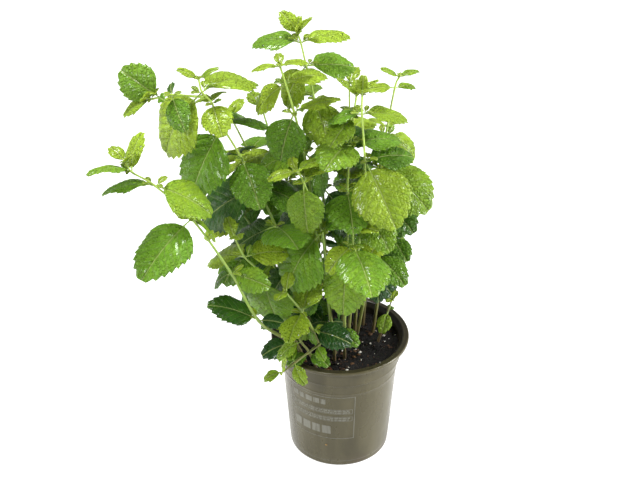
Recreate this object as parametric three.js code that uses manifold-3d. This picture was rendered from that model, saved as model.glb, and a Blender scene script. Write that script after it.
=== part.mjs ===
// A potted mint plant: a thin plastic herb pot, its soil, and leafy stems that stand in holes in the soil.
// Millimetres, +Z up. The origin is the centre of the pot's underside, where the pot rests.
import * as THREE from "three";
import { mergeVertices } from "three/addons/utils/BufferGeometryUtils.js";
import Module from "manifold-3d";

const wasm = await Module();
wasm.setup();

// ---------------------------------------------------------------- driving dimensions (mm and degrees)

const POT = {
  height: 114,
  rimRadius: 60, // outer edge of the rolled lip
  lipHeight: 3.4,
  lipEdge: 0.8, // bevel of the lip's corners
  lipFillet: 1.2, // slope from the band out to the lip
  lipInnerRadius: 55.5,
  bandHeight: 19, // the upright band below the top, lip included
  bandRadius: 52.8,
  bandStep: 1, // height over which the wall widens into the band
  bodyTopRadius: 51,
  baseRadius: 44,
  footBevel: 2,
  wall: 1.5,
  floor: 2,
  facets: 30,
  drainHoles: 6,
  drainHoleRadius: 4,
  drainRingRadius: 33,
};

const SOIL = {
  top: 104,
  lump: 1.8, // height of the lumps either side of the top
  clearance: 0.3,
  rings: 3,
  facets: POT.facets / 2,
};

const STEM = {
  baseRadius: 1.9, // half the diagonal of the square stem at the soil
  tipRadius: 0.8,
  branchShare: 0.6, // of the base radius, where a branch starts
  buried: 12,
  holeClearance: 0.35,
  samplesPerSpan: 12,
  samplesPerRing: 12,
};

const BUD = { radius: 1.7, stretch: 1.8 };

// How the evenly grown stems are drawn; a spread is the whole width of a random draw.
const GROWTH = {
  topPair: 0.96,
  lean: 1.4, // above 1 a stem rises before it leans
  placeSpread: 3,
  turnSpread: 24,
  tiltSpread: 14,
  lowTilt: -34,
  highTilt: 14,
  tipSize: 0.4,
  tipTilt: 42,
};

const LEAF = {
  thickness: 0.7,
  widthRatio: 0.98, // of a fully grown blade
  youngWidthRatio: 0.6, // of a blade too small to show
  grownLength: 46,
  petioleRatio: 0.13, // length of the stalk beside a fully grown blade's
  youngPetioleRatio: 0.03,
  petioleWidth: 1.7, // at the blade
  petioleRoot: 0.8, // at the stem
  fullest: 0.8, // below 1 moves the widest part towards the stalk
  roundness: 0.64, // lower is blunter at both ends
  twoTeethFrom: 18, // blade lengths from which the edge has two and three teeth a side
  threeTeethFrom: 43,
  toothStandOut: 1.06,
  notchDepth: 0.9,
  bend: 42, // how far the midrib curves down from stalk to tip
  dome: 0.32, // how far the two halves curve down from the midrib
  fold: 0.22, // how steeply they first rise from it
  ripple: 0.035, // wave of the edge, as a share of the length
  faceLight: 1.2, // how strongly a hanging blade turns its face to the light
  turnSpread: 10, // of the random turn and roll that each leaf is given
  rollSpread: 24,
  sampleStep: 3,
  gap: 3, // kept between blades
  stemGap: 4.4, // kept between a blade and another stem's middle line
  soilGap: 2,
  rimGap: 3, // kept outside the rim
};

// A growing tip whose leaves are longer than this has a second, shorter and steeper pair inside.
const TIP = { twoPairsOver: 17, innerSize: 0.62, innerRise: 22 };

// Where the light comes from: blades turn their faces to it.
const LIGHT = new THREE.Vector3(0, -0.62, 0.78);

// The turns, tilts and sizes that a leaf may take, in this order, to clear what already stands near it.
const DODGE = {
  scales: [1, 0.86, 0.72],
  turns: [0, 12, -12, 24, -24, 38, -38, 52, -52, 68, -68],
  tilts: [0, 13, -13, 26, -26, 40, -40, 55],
};

// ---------------------------------------------------------------- the plant

// Each stem is a list of its nodes from the soil up: place (x, y, z), then the compass turn of one leaf of
// the pair (0 is +X, 90 is +Y), its length and its tilt above the horizon, and the other leaf's length and
// tilt where they differ. A node with no length is bare. The last node is the growing tip, and its length
// is that of the leaves around the bud.
const STEMS = [
  {
    name: "stem_tall_centre",
    seed: 11,
    nodes: [
      [-6, 4, 92],
      [-9, 2, 142, 20, 22, -25],
      [-12, 0, 180, 110, 30, -25],
      [-14, 0, 218, 20, 36, -22],
      [-15, 2, 256, 300, 42, -22, 34, 0],
      [-17, 4, 298, 170, 42, -12, 40, 16],
      [-22, 4, 334, 290, 36, -36, 34, 5],
      [-28, 4, 361, 20, 36, -6, 34, -42],
      [-32, 6, 379, 182, 34, 24, 34, 16],
      [-34, 6, 385, 140, 20, 62],
    ],
  },
  {
    name: "stem_front_centre",
    seed: 12,
    nodes: [
      [-3, -14, 92],
      [-8, -26, 142, 150, 22, -15],
      [-12, -34, 186, 15, 34, -20],
      [-16, -42, 240, 212, 50, -34, 32, 8],
      [-30, -50, 289, 256, 36, -62, 28, 20],
      [-35, -52, 299, 200, 20, 18],
    ],
  },
  {
    name: "stem_left_of_tall",
    seed: 13,
    nodes: [
      [-14, 8, 92],
      [-17, -4, 158, 60, 26, -25],
      [-19, -10, 200, 140, 34, -25],
      [-23, -17, 250, 220, 40, -25],
      [-30, -21, 300, 5, 38, -12],
      [-37, -24, 335, 232, 36, -48, 32, 18],
      [-43, -26, 359, 190, 29, -20, 29, 20],
      [-47, -26, 373, 186, 19, 16],
    ],
  },
  {
    name: "stem_mid_right",
    seed: 14,
    nodes: [
      [-2, -5, 92],
      [4, -13, 160, 200, 24, -30],
      [5, -18, 210, 90, 34, -25],
      [4, -23, 266, 222, 42, -48, 36, -5],
      [6, -24, 308, 195, 38, -42, 36, 0],
      [8, -24, 332, 285, 28, -20, 24, 5],
      [10, -24, 348, 10, 18, 55],
    ],
  },
  {
    name: "stem_upper_left",
    seed: 15,
    nodes: [
      [-22, 2, 92],
      [-30, -8, 148, 195, 24, -25],
      [-41, -20, 196, 240, 40, -35],
      [-53, -26, 236, 150, 44, -20],
      [-66, -30, 274, 188, 50, -14, 40, -10],
      [-78, -32, 301, 286, 38, -34, 30, 0],
      [-91, -34, 328, 208, 52, -40, 52, -10],
      [-98, -34, 347, 280, 30, -14, 30, 5],
      [-105, -34, 356, 206, 52, -30, 44, 6],
      [-107, -34, 366, 175, 15, 40],
    ],
    branches: [
      {
        nodes: [
          [-104, -34, 352],
          [-127, -37, 355, 262, 27, -40, 12, 20],
          [-136, -39, 354, 120, 32, 85, 12, 20],
          [-142, -40, 353, 195, 22, 38, 8, 20],
        ],
      },
    ],
  },
  {
    name: "stem_left_sprawling",
    seed: 16,
    nodes: [
      [-31, -17, 92],
      [-42, -33, 126, 196, 24, 14, 12, 0],
      [-67, -60, 168, 176, 38, 48, 18, 0],
      [-86, -74, 222, 165, 20, -22, 28, -14],
      [-113, -80, 274, 220, 52, -6, 27, -52],
      [-139, -78, 301, 190, 35, 38, 42, -42],
      [-155, -76, 311, 30, 27, 62, 31, 52],
      [-159, -76, 319, 130, 16, 45],
    ],
  },
  {
    name: "stem_right_tall",
    seed: 17,
    nodes: [
      [12, 10, 92],
      [16, 8, 158],
      [24, 2, 200, 150, 32, -25],
      [32, 5, 244, 60, 36, -10],
      [31, 6, 270, 300, 46, -50, 38, 5],
      [35, 8, 300, 350, 30, -22, 28, -10],
      [41, 10, 340, 190, 22, 5, 15, 18],
      [44, 10, 349, 20, 15, 32],
    ],
  },
  {
    name: "stem_right_mid",
    seed: 18,
    nodes: [
      [6, -6, 92],
      [9, -14, 158],
      [13, -22, 206, 25, 36, -20],
      [17, -29, 254, 120, 36, -20],
      [17, -33, 298, 266, 50, -60, 36, 8],
      [14, -34, 338, 5, 32, 4, 24, 4],
      [14, -34, 353, 90, 14, 50],
    ],
  },
  {
    name: "stem_low_right",
    seed: 19,
    nodes: [
      [4, -20, 92],
      [3, -33, 144],
      [5, -50, 221, 258, 42, -58, 26, 0],
      [8, -56, 236, 352, 46, 2, 26, -10],
      [8, -57, 252, 90, 18, 60],
    ],
  },
  {
    name: "stem_low_left",
    seed: 20,
    nodes: [
      [-26, -26, 92],
      [-45, -43, 154, 200, 32, -14, 16, 0],
      [-62, -52, 204, 240, 44, -44, 30, 0],
      [-76, -60, 228, 190, 40, -22, 32, -5],
      [-83, -62, 246, 110, 16, 50],
    ],
  },
  {
    name: "stem_right_low",
    seed: 21,
    nodes: [
      [30, 0, 92],
      [38, -1, 122],
      [41, -2, 138, 250, 18, -50, 10, 0],
      [44, -2, 149, 60, 9, 30],
    ],
  },
  {
    name: "stem_runner",
    seed: 22,
    nodes: [
      [-5, -26, 92],
      [-5, -32, 122],
      [-3, -36, 142, 345, 20, 0, 12, 20],
      [-20, -51, 136, 110, 16, 20],
      [-38, -63, 128, 250, 18, 0],
      [-48, -69, 123, 196, 15, 42],
    ],
  },
  {
    name: "stem_front_low",
    seed: 23,
    nodes: [
      [-18, -34, 92],
      [-26, -42, 122, 320, 19, 10],
      [-33, -48, 138, 230, 22, 4],
      [-37, -51, 152, 140, 15, 40],
    ],
  },
  {
    name: "stem_back_centre",
    seed: 31,
    grow: { root: [2, 20], tip: [6, 30, 334], first: 0.3, pairs: 5, size: 42, turn: 75 },
  },
  {
    name: "stem_back_right",
    seed: 32,
    grow: { root: [20, 26], tip: [38, 38, 292], first: 0.34, pairs: 5, size: 40, turn: 20 },
  },
  {
    name: "stem_back_left",
    seed: 33,
    grow: { root: [-14, 26], tip: [-64, 24, 316], first: 0.3, pairs: 5, size: 44, turn: 120 },
  },
  {
    name: "stem_mid_left",
    seed: 34,
    grow: { root: [-30, 12], tip: [-96, 2, 262], first: 0.3, pairs: 4, size: 44, turn: 200 },
  },
  {
    name: "stem_left_back",
    seed: 38,
    grow: { root: [-26, 33], tip: [-90, 40, 300], first: 0.5, pairs: 4, size: 46, turn: 60 },
  },
  {
    name: "stem_front_right",
    seed: 35,
    grow: { root: [12, 2], tip: [38, -31, 246], first: 0.62, pairs: 3, size: 31, turn: 320 },
  },
  {
    name: "stem_front_left",
    seed: 36,
    grow: { root: [-9, -31], tip: [-44, -68, 200], first: 0.52, pairs: 2, size: 38, turn: 250 },
  },
  {
    name: "stem_right_back",
    seed: 37,
    grow: { root: [28, 14], tip: [48, 8, 250], first: 0.58, pairs: 3, size: 26, turn: 300 },
  },
];

// ---------------------------------------------------------------- small helpers

const radians = (degrees) => (degrees * Math.PI) / 180;

const mix = (a, b, share) => a + (b - a) * share;

/** Park-Miller random numbers from 0 to 1, the same on every run. */
function seededRandom(seed) {
  let state = seed * 7919;
  return () => {
    state = (state * 48271) % 2147483647;
    return state / 2147483647;
  };
}

/** A closed solid from a list of points and a list of triangles that face out. */
function solidFrom(points, triangles) {
  const geometry = new THREE.BufferGeometry().setFromPoints(points);
  geometry.setIndex(triangles.flat());
  return solidOf(geometry);
}

/** A closed three.js geometry as a manifold-3d solid. */
function solidOf(geometry) {
  geometry.deleteAttribute("normal");
  geometry.deleteAttribute("uv");
  const merged = mergeVertices(geometry, 1e-4);
  return new wasm.Manifold(
    new wasm.Mesh({
      numProp: 3,
      vertProperties: merged.attributes.position.array,
      triVerts: new Uint32Array(merged.index.array),
    }),
  );
}

/** The largest body of a manifold-3d solid, as a named three.js mesh. */
function meshOf(name, solid, material) {
  const bodies = solid.decompose();
  const body = bodies.reduce((a, b) => (a.volume() > b.volume() ? a : b));
  const { vertProperties, triVerts } = body.getMesh();
  const geometry = new THREE.BufferGeometry();
  geometry.setAttribute("position", new THREE.BufferAttribute(vertProperties, 3));
  geometry.setIndex(new THREE.BufferAttribute(triVerts, 1));
  geometry.computeVertexNormals();
  const mesh = new THREE.Mesh(geometry, material);
  mesh.name = name;
  return mesh;
}

/** A solid of revolution about Z from a closed outline of [radius, height] points. */
function turned(outline, facets) {
  const profile = outline.map(([radius, height]) => new THREE.Vector2(radius, height));
  return solidOf(new THREE.LatheGeometry(profile, facets).rotateX(Math.PI / 2));
}

// ---------------------------------------------------------------- the pot and the soil

const BAND_FOOT = POT.height - POT.bandHeight;
const LIP_FOOT = POT.height - POT.lipHeight;

/** The outside radius of the pot's wall at a height below its lip. */
const wallRadius = (height) =>
  height < BAND_FOOT ? mix(POT.baseRadius, POT.bodyTopRadius, height / BAND_FOOT) : POT.bandRadius;

function buildPot(material) {
  const inside = POT.bandRadius - POT.wall;
  const outline = [
    [0, 0],
    [POT.baseRadius - POT.footBevel, 0],
    [wallRadius(POT.footBevel), POT.footBevel],
    [POT.bodyTopRadius, BAND_FOOT - POT.bandStep],
    [POT.bandRadius, BAND_FOOT],
    [POT.bandRadius, LIP_FOOT - POT.lipFillet],
    [POT.rimRadius - POT.lipEdge, LIP_FOOT],
    [POT.rimRadius, LIP_FOOT + POT.lipEdge],
    [POT.rimRadius, POT.height - POT.lipEdge],
    [POT.rimRadius - POT.lipEdge, POT.height],
    [POT.lipInnerRadius, POT.height],
    [inside, LIP_FOOT + POT.lipEdge],
    [inside, BAND_FOOT],
    [POT.bodyTopRadius - POT.wall, BAND_FOOT - POT.bandStep],
    [wallRadius(POT.floor) - POT.wall, POT.floor],
    [0, POT.floor],
  ];
  let pot = turned(outline, POT.facets);
  const drill = new THREE.CylinderGeometry(POT.drainHoleRadius, POT.drainHoleRadius, 4 * POT.floor, 8);
  drill.rotateX(Math.PI / 2);
  for (let i = 0; i < POT.drainHoles; i++) {
    const turn = (i / POT.drainHoles) * 2 * Math.PI;
    const hole = drill.clone();
    hole.translate(POT.drainRingRadius * Math.cos(turn), POT.drainRingRadius * Math.sin(turn), 0);
    pot = pot.subtract(solidOf(hole));
  }
  return meshOf("pot", pot, material);
}

/** The soil's top surface: low lumps on a level bed. */
function soilHeight(x, y) {
  const broad = Math.sin(0.21 * x + 1.3) * Math.cos(0.17 * y);
  const narrow = Math.sin(0.33 * y + 0.12 * x);
  return SOIL.top + SOIL.lump * (0.5 * broad + 0.5 * narrow);
}

function buildSoil(stems, material) {
  const points = [];
  const triangles = [];
  const bedRadius = (height) => wallRadius(height) - POT.wall - SOIL.clearance;
  const edgeRadius = bedRadius(SOIL.top - SOIL.lump);
  const { rings, facets } = SOIL;
  // Rings of the lumpy top from the middle out, then the side at the foot of the pot's band and at its floor.
  const ringAt = (radius, height) => {
    for (let i = 0; i < facets; i++) {
      const turn = (i / facets) * 2 * Math.PI;
      const [x, y] = [radius * Math.sin(turn), -radius * Math.cos(turn)];
      points.push(new THREE.Vector3(x, y, height ?? soilHeight(x, y)));
    }
  };
  // Its corners lie behind corners of the pot, so its flat sides stay clear of the pot's.
  for (let r = 1; r <= rings; r++) ringAt((edgeRadius * r) / rings);
  ringAt(bedRadius(BAND_FOOT - POT.bandStep), BAND_FOOT);
  ringAt(bedRadius(POT.floor) - SOIL.clearance, POT.floor);
  const ringCount = rings + 2;
  const middle = points.push(new THREE.Vector3(0, 0, soilHeight(0, 0))) - 1;
  const bottom = points.push(new THREE.Vector3(0, 0, POT.floor)) - 1;
  for (let i = 0; i < facets; i++) {
    const next = (i + 1) % facets;
    triangles.push([middle, i, next]);
    for (let r = 0; r + 1 < ringCount; r++) {
      const [inner, outer] = [r * facets, (r + 1) * facets];
      triangles.push([inner + i, outer + i, outer + next], [inner + i, outer + next, inner + next]);
    }
    const last = (ringCount - 1) * facets;
    triangles.push([bottom, last + next, last + i]);
  }
  const holes = stems.flatMap((stem) => stem.runs.slice(0, 1).map((run) => run.tube(STEM.holeClearance)));
  return meshOf("soil", solidFrom(points, triangles).subtract(wasm.Manifold.union(holes)), material);
}

// ---------------------------------------------------------------- stems

/** One unbranched length of square stem, through its nodes. */
class Run {
  constructor(nodes, baseRadius) {
    this.nodes = nodes;
    this.baseRadius = baseRadius;
    const places = nodes.map(([x, y, z]) => new THREE.Vector3(x, y, z));
    const curve = new THREE.CatmullRomCurve3(places, false, "catmullrom", 0.5);
    const count = (nodes.length - 1) * STEM.samplesPerSpan;
    this.line = Array.from({ length: count + 1 }, (_, i) => curve.getPoint(i / count));
  }

  /** The stem's direction at a node. */
  directionAt(node) {
    const at = node * STEM.samplesPerSpan;
    const before = this.line[Math.max(0, at - 1)];
    const after = this.line[Math.min(this.line.length - 1, at + 1)];
    return after.clone().sub(before).normalize();
  }

  /** The run as a closed, tapering, four-sided solid, fatter and deeper by grow. */
  tube(grow = 0) {
    const last = this.line.length - 1;
    const points = [];
    const triangles = [];
    const pairTurn = this.nodes.find((node) => node.length > 3)[3];
    const cornerTurn = radians(pairTurn + 45); // so that leaves spring from the flat sides
    let across = new THREE.Vector3(Math.cos(cornerTurn), Math.sin(cornerTurn), 0);
    let rings = 0;
    for (let i = 0; i <= last; i += STEM.samplesPerRing) {
      const ahead = this.line[Math.min(last, i + 1)].clone().sub(this.line[Math.max(0, i - 1)]).normalize();
      across = across.clone().addScaledVector(ahead, -across.dot(ahead)).normalize();
      const beside = ahead.clone().cross(across);
      const radius = mix(this.baseRadius, STEM.tipRadius, i / last) + grow * Math.SQRT2;
      const centre = this.line[i].clone().addScaledVector(ahead, i === 0 ? -grow : 0);
      for (let corner = 0; corner < 4; corner++) {
        const turn = (corner * Math.PI) / 2;
        points.push(
          centre
            .clone()
            .addScaledVector(across, radius * Math.cos(turn))
            .addScaledVector(beside, radius * Math.sin(turn)),
        );
      }
      rings++;
    }
    for (let ring = 0; ring + 1 < rings; ring++) {
      for (let corner = 0; corner < 4; corner++) {
        const [a, b] = [ring * 4 + corner, ring * 4 + ((corner + 1) % 4)];
        triangles.push([a, b, b + 4], [a, b + 4, a + 4]);
      }
    }
    const top = (rings - 1) * 4;
    triangles.push([0, 2, 1], [0, 3, 2], [top, top + 1, top + 2], [top, top + 2, top + 3]);
    return solidFrom(points, triangles);
  }
}

/** The pointed bud at the end of a run. */
function bud(run) {
  const up = run.directionAt(run.nodes.length - 1);
  const geometry = new THREE.OctahedronGeometry(BUD.radius).scale(1, 1, BUD.stretch);
  geometry.applyQuaternion(new THREE.Quaternion().setFromUnitVectors(new THREE.Vector3(0, 0, 1), up));
  const middle = run.line.at(-1).clone().addScaledVector(up, BUD.radius);
  return solidOf(geometry.translate(middle.x, middle.y, middle.z));
}

/** The nodes of a stem that grows evenly from its root and leans out to its tip. */
function grownNodes({ root, tip, first, pairs, size, turn }, random) {
  const foot = SOIL.top - STEM.buried;
  const nodes = [[root[0], root[1], foot]];
  for (let i = 1; i <= pairs; i++) {
    const share = first + (GROWTH.topPair - first) * ((i - 1) / pairs);
    const lean = share ** GROWTH.lean;
    const up = (i - 1) / (pairs - 1);
    nodes.push([
      mix(root[0], tip[0], lean) + GROWTH.placeSpread * (random() - 0.5),
      mix(root[1], tip[1], lean) + GROWTH.placeSpread * (random() - 0.5),
      mix(foot, tip[2], share),
      turn + 90 * i + GROWTH.turnSpread * (random() - 0.5),
      size * (0.6 + 0.4 * Math.sin(Math.PI * (0.15 + 0.7 * up))),
      mix(GROWTH.lowTilt, GROWTH.highTilt, up) + GROWTH.tiltSpread * (random() - 0.5),
    ]);
  }
  nodes.push([...tip, turn, GROWTH.tipSize * size, GROWTH.tipTilt]);
  return nodes;
}

// ---------------------------------------------------------------- leaves

/** Half of the blade's width at a share of its length, teeth left out, for a blade 1 wide. */
const outline = (share) => 0.5 * Math.sin(Math.PI * Math.min(1, share) ** LEAF.fullest) ** LEAF.roundness;

/** One leaf: where its blade starts, the three directions that it is built along, and its size. */
class Leaf {
  constructor(foot, axis, azimuth, tilt, roll, length, widthRatio, character, faceLight) {
    const turn = radians(azimuth);
    const level = new THREE.Vector3(Math.cos(turn), Math.sin(turn), 0);
    level.addScaledVector(axis, -level.dot(axis)).normalize();
    const [c, s] = [Math.cos(radians(tilt)), Math.sin(radians(tilt))];
    this.heading = level.clone().multiplyScalar(c).addScaledVector(axis, s);
    const flat = axis.clone().multiplyScalar(c).addScaledVector(level, -s);
    flat.addScaledVector(LIGHT, faceLight);
    flat.addScaledVector(this.heading, -flat.dot(this.heading)).normalize();
    const beside = flat.clone().cross(this.heading);
    this.up = flat.multiplyScalar(Math.cos(radians(roll))).addScaledVector(beside, Math.sin(radians(roll)));
    this.side = this.up.clone().cross(this.heading);
    this.foot = foot;
    this.length = length;
    this.width = widthRatio * length;
    const grown = Math.min(1, length / LEAF.grownLength);
    this.petiole = mix(LEAF.youngPetioleRatio, LEAF.petioleRatio, grown) * length + STEM.baseRadius;
    this.bend = radians(LEAF.bend * (0.6 + 0.8 * character));
    this.phase = 2 * Math.PI * character;
  }

  /** A point of the blade, along its midrib and across it, lifted off its middle surface. */
  point(along, across, lift) {
    const { length, width, bend, phase } = this;
    const angle = (bend * along) / length;
    const radius = length / bend;
    const flat = LEAF.petioleWidth / 2; // the strip along the midrib that carries on from the stalk
    const out = Math.max(0, Math.abs(across) - flat) / (0.5 * width);
    const beat = (9 * along) / length + phase + (across > 0 ? 2 : 0);
    const wave = LEAF.ripple * length * out * out * Math.sin(beat);
    const rise = LEAF.fold * Math.abs(across) - LEAF.dome * 0.5 * width * out * out + wave + lift;
    return this.foot
      .clone()
      .addScaledVector(this.heading, this.petiole + radius * Math.sin(angle) + rise * Math.sin(angle))
      .addScaledVector(this.up, -radius * (1 - Math.cos(angle)) + rise * Math.cos(angle))
      .addScaledVector(this.side, across);
  }

  /** Points spread over the blade, close enough to show what comes near it. */
  samples() {
    const rows = Math.ceil(this.length / LEAF.sampleStep);
    const found = [];
    for (let row = 1; row <= rows; row++) {
      const half = this.width * outline(row / rows - 0.5 / rows);
      const columns = Math.ceil(half / LEAF.sampleStep);
      for (let column = -columns; column <= columns; column++) {
        found.push(this.point((this.length * row) / rows, (half * column) / columns, 0));
      }
    }
    return found;
  }

  /** The number of teeth on each side that the solid shows. */
  get teeth() {
    if (this.length < LEAF.twoTeethFrom) return 1;
    return this.length < LEAF.threeTeethFrom ? 2 : 3;
  }

  /** The blade and its stalk as one closed thin solid with a toothed edge. */
  solid() {
    const { length, width, teeth } = this;
    const half = LEAF.petioleWidth / 2;
    // Each entry is [along, across] on the left; the right side is its mirror image.
    const edge = [
      [0.3 - this.petiole, LEAF.petioleRoot / 2],
      [0, half],
    ];
    const rib = [];
    for (let k = 1; k <= teeth; k++) {
      const tooth = (k - 0.4) / teeth;
      edge.push([tooth * length, width * outline(tooth - 0.08 / teeth) * LEAF.toothStandOut]);
      if (k === teeth) break;
      edge.push([(k / teeth) * length, width * outline(k / teeth) * LEAF.notchDepth]);
      rib.push([(k / teeth) * length, 0]);
    }
    const corners = [...edge, ...edge.map(([along, across]) => [along, -across]), [length, 0], ...rib];
    const right = edge.length;
    const apex = 2 * edge.length;
    const ribAt = (k) => apex + k; // the midrib point at the k-th notch
    const face = [
      [0, right, 1],
      [right, right + 1, 1],
    ];
    for (const [start, flip] of [
      [0, false],
      [right, true],
    ]) {
      const add = (a, b, c) => face.push(flip ? [a, b, c] : [a, c, b]);
      for (let k = 1; k <= teeth; k++) {
        const notchBefore = start + 2 * k - 1;
        const tooth = notchBefore + 1;
        const inner = k === 1 ? null : ribAt(k - 1);
        const outer = k === teeth ? apex : ribAt(k);
        if (inner !== null) add(inner, notchBefore, tooth);
        if (k === 1 && flip) face.push([1, right + 1, outer]);
        add(inner ?? notchBefore, tooth, outer);
        if (k < teeth) add(outer, tooth, tooth + 1);
      }
    }
    const points = [];
    for (const lift of [0.5, -0.5]) {
      for (const [along, across] of corners) {
        const bladeSpot = this.point(Math.max(0, along), across, lift * LEAF.thickness);
        points.push(bladeSpot.addScaledVector(this.heading, Math.min(0, along)));
      }
    }
    const under = corners.length;
    const triangles = [...face, ...face.map(([a, b, c]) => [a + under, c + under, b + under])];
    const rim = [
      ...edge.map((_, i) => right + i),
      apex,
      ...edge.map((_, i) => right - 1 - i),
    ];
    rim.forEach((a, i) => {
      const b = rim[(i + 1) % rim.length];
      triangles.push([a, a + under, b + under], [a, b + under, b]);
    });
    return solidFrom(points, triangles);
  }
}

/** True if a point is clear of the soil and of the pot's rim. */
function clearOfPot({ x, y, z }) {
  const radius = Math.hypot(x, y);
  if (radius > POT.rimRadius + LEAF.rimGap) return z > LEAF.rimGap;
  if (radius > POT.bandRadius - POT.wall - LEAF.rimGap) return z > POT.height + LEAF.soilGap;
  return z > SOIL.top + SOIL.lump + LEAF.soilGap;
}

/** A cloud of points with the ball that holds it. */
function cloud(owner, points) {
  const centre = points.reduce((sum, p) => sum.add(p), new THREE.Vector3()).divideScalar(points.length);
  const reach = Math.max(...points.map((p) => p.distanceTo(centre)));
  return { owner, points, centre, reach };
}

/** True if a leaf's cloud comes closer to another cloud than it may. */
function near(leaf, other) {
  const gap = other.isStem ? LEAF.stemGap : LEAF.gap;
  if (leaf.centre.distanceTo(other.centre) > leaf.reach + other.reach + gap) return false;
  return leaf.points.some((p) => other.points.some((q) => p.distanceToSquared(q) < gap * gap));
}

/** The leaf nearest to what was asked for that clears everything placed before it, or null. */
function placeLeaf(make, isTip, owner, placed) {
  const others = isTip ? placed.filter((other) => other.owner !== owner) : placed;
  for (const scale of DODGE.scales) {
    for (const tilt of DODGE.tilts) {
      for (const turn of DODGE.turns) {
        const leaf = make(turn, tilt, scale);
        const points = leaf.samples();
        if (!points.every(clearOfPot)) continue;
        const own = cloud(owner, points);
        if (others.some((other) => !(other.isStem && other.owner === owner) && near(own, other))) continue;
        placed.push(own);
        return leaf;
      }
    }
  }
  return null;
}

/** All the stems with their leaves, each clear of the others. */
function growPlant() {
  const stems = STEMS.map((spec, owner) => {
    const random = seededRandom(spec.seed);
    const nodes = spec.nodes ?? grownNodes(spec.grow, random);
    const runs = [new Run(nodes, STEM.baseRadius)];
    const branchRadius = STEM.branchShare * STEM.baseRadius;
    for (const branch of spec.branches ?? []) runs.push(new Run(branch.nodes, branchRadius));
    return { name: spec.name, owner, random, runs, leaves: [] };
  });
  const placed = stems.flatMap(({ owner, runs }) =>
    runs.map((run) => ({ ...cloud(owner, run.line), isStem: true })),
  );
  for (const stem of stems) {
    for (const run of stem.runs) addLeaves(stem, run, placed);
  }
  return stems;
}

/** Hangs a pair of leaves on each node of a run, and two crossed pairs round the bud at its tip. */
function addLeaves(stem, run, placed) {
  const { owner, random, leaves } = stem;
  const last = run.nodes.length - 1;
  run.nodes.forEach(([x, y, z, turn, length, tilt, otherLength = length, otherTilt = tilt], index) => {
    if (!length) return;
    const isTip = index === last;
    const foot = new THREE.Vector3(x, y, z);
    const axis = run.directionAt(index).add(new THREE.Vector3(0, 0, 1)).normalize();
    const pair = [
      [turn, length, tilt],
      [turn + 180, otherLength, otherTilt],
    ];
    if (isTip && length > TIP.twoPairsOver) {
      const inner = [TIP.innerSize * length, tilt + TIP.innerRise];
      pair.push([turn + 90, ...inner], [turn + 270, ...inner]);
    }
    for (const [azimuth, size, rise] of pair) {
      const jitterTurn = LEAF.turnSpread * (random() - 0.5);
      const jitterRoll = LEAF.rollSpread * (random() - 0.5);
      const character = random();
      const grown = Math.min(1, size / LEAF.grownLength);
      const ratio = mix(LEAF.youngWidthRatio, LEAF.widthRatio, grown) * (0.94 + 0.12 * character);
      const faceLight = LEAF.faceLight * Math.min(1, Math.max(0, (12 - rise) / 42));
      const make = (dodgeTurn, dodgeTilt, scale) =>
        new Leaf(
          foot,
          axis,
          azimuth + jitterTurn + dodgeTurn,
          rise + dodgeTilt,
          jitterRoll,
          size * scale,
          ratio,
          character,
          faceLight,
        );
      const leaf = placeLeaf(make, isTip, owner, placed);
      if (leaf) leaves.push(leaf);
    }
  });
}

function buildStem({ name, runs, leaves }, material) {
  const pieces = [...runs.flatMap((run) => [run.tube(), bud(run)]), ...leaves.map((leaf) => leaf.solid())];
  return meshOf(name, wasm.Manifold.union(pieces), material);
}

// ---------------------------------------------------------------- the whole

const materials = {
  pot: new THREE.MeshStandardMaterial({ color: "#7d7662", roughness: 0.45, metalness: 0 }),
  soil: new THREE.MeshStandardMaterial({ color: "#1d1712", roughness: 0.95, metalness: 0 }),
  mint: new THREE.MeshStandardMaterial({ color: "#4f8a1f", roughness: 0.5, metalness: 0 }),
};

const stems = growPlant();
const plant = new THREE.Group();
plant.add(buildPot(materials.pot), buildSoil(stems, materials.soil));
stems.forEach((stem) => plant.add(buildStem(stem, materials.mint)));

export default plant;
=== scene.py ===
"""A potted mint plant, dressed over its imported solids: pot, soil, leafy stems and what clings to them."""

from __future__ import annotations

import logging
import math
from dataclasses import dataclass, field
from enum import Enum
from functools import cache
from itertools import product
from typing import Callable, Iterable, Sequence

import bpy
import numpy as np
from bpy.types import Material, Node, NodeSocket, Object
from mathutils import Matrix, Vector, noise

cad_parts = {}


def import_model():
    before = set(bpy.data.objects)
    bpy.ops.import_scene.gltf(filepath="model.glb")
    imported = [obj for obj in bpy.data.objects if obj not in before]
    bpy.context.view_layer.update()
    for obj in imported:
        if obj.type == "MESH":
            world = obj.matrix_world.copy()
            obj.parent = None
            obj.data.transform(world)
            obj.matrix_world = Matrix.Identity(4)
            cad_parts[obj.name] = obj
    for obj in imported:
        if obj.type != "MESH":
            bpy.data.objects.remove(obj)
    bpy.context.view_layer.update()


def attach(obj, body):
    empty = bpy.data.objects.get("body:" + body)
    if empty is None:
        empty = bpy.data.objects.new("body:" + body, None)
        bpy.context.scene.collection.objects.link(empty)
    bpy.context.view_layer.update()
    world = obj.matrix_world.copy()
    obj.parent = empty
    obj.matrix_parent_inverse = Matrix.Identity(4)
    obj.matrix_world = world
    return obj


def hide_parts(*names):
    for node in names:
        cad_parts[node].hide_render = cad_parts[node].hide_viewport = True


LOG = logging.getLogger("mint")
MM = 0.001  # metres in a millimetre

# ---------------------------------------------------------- sizes that the solids share, in mm and degrees


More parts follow.
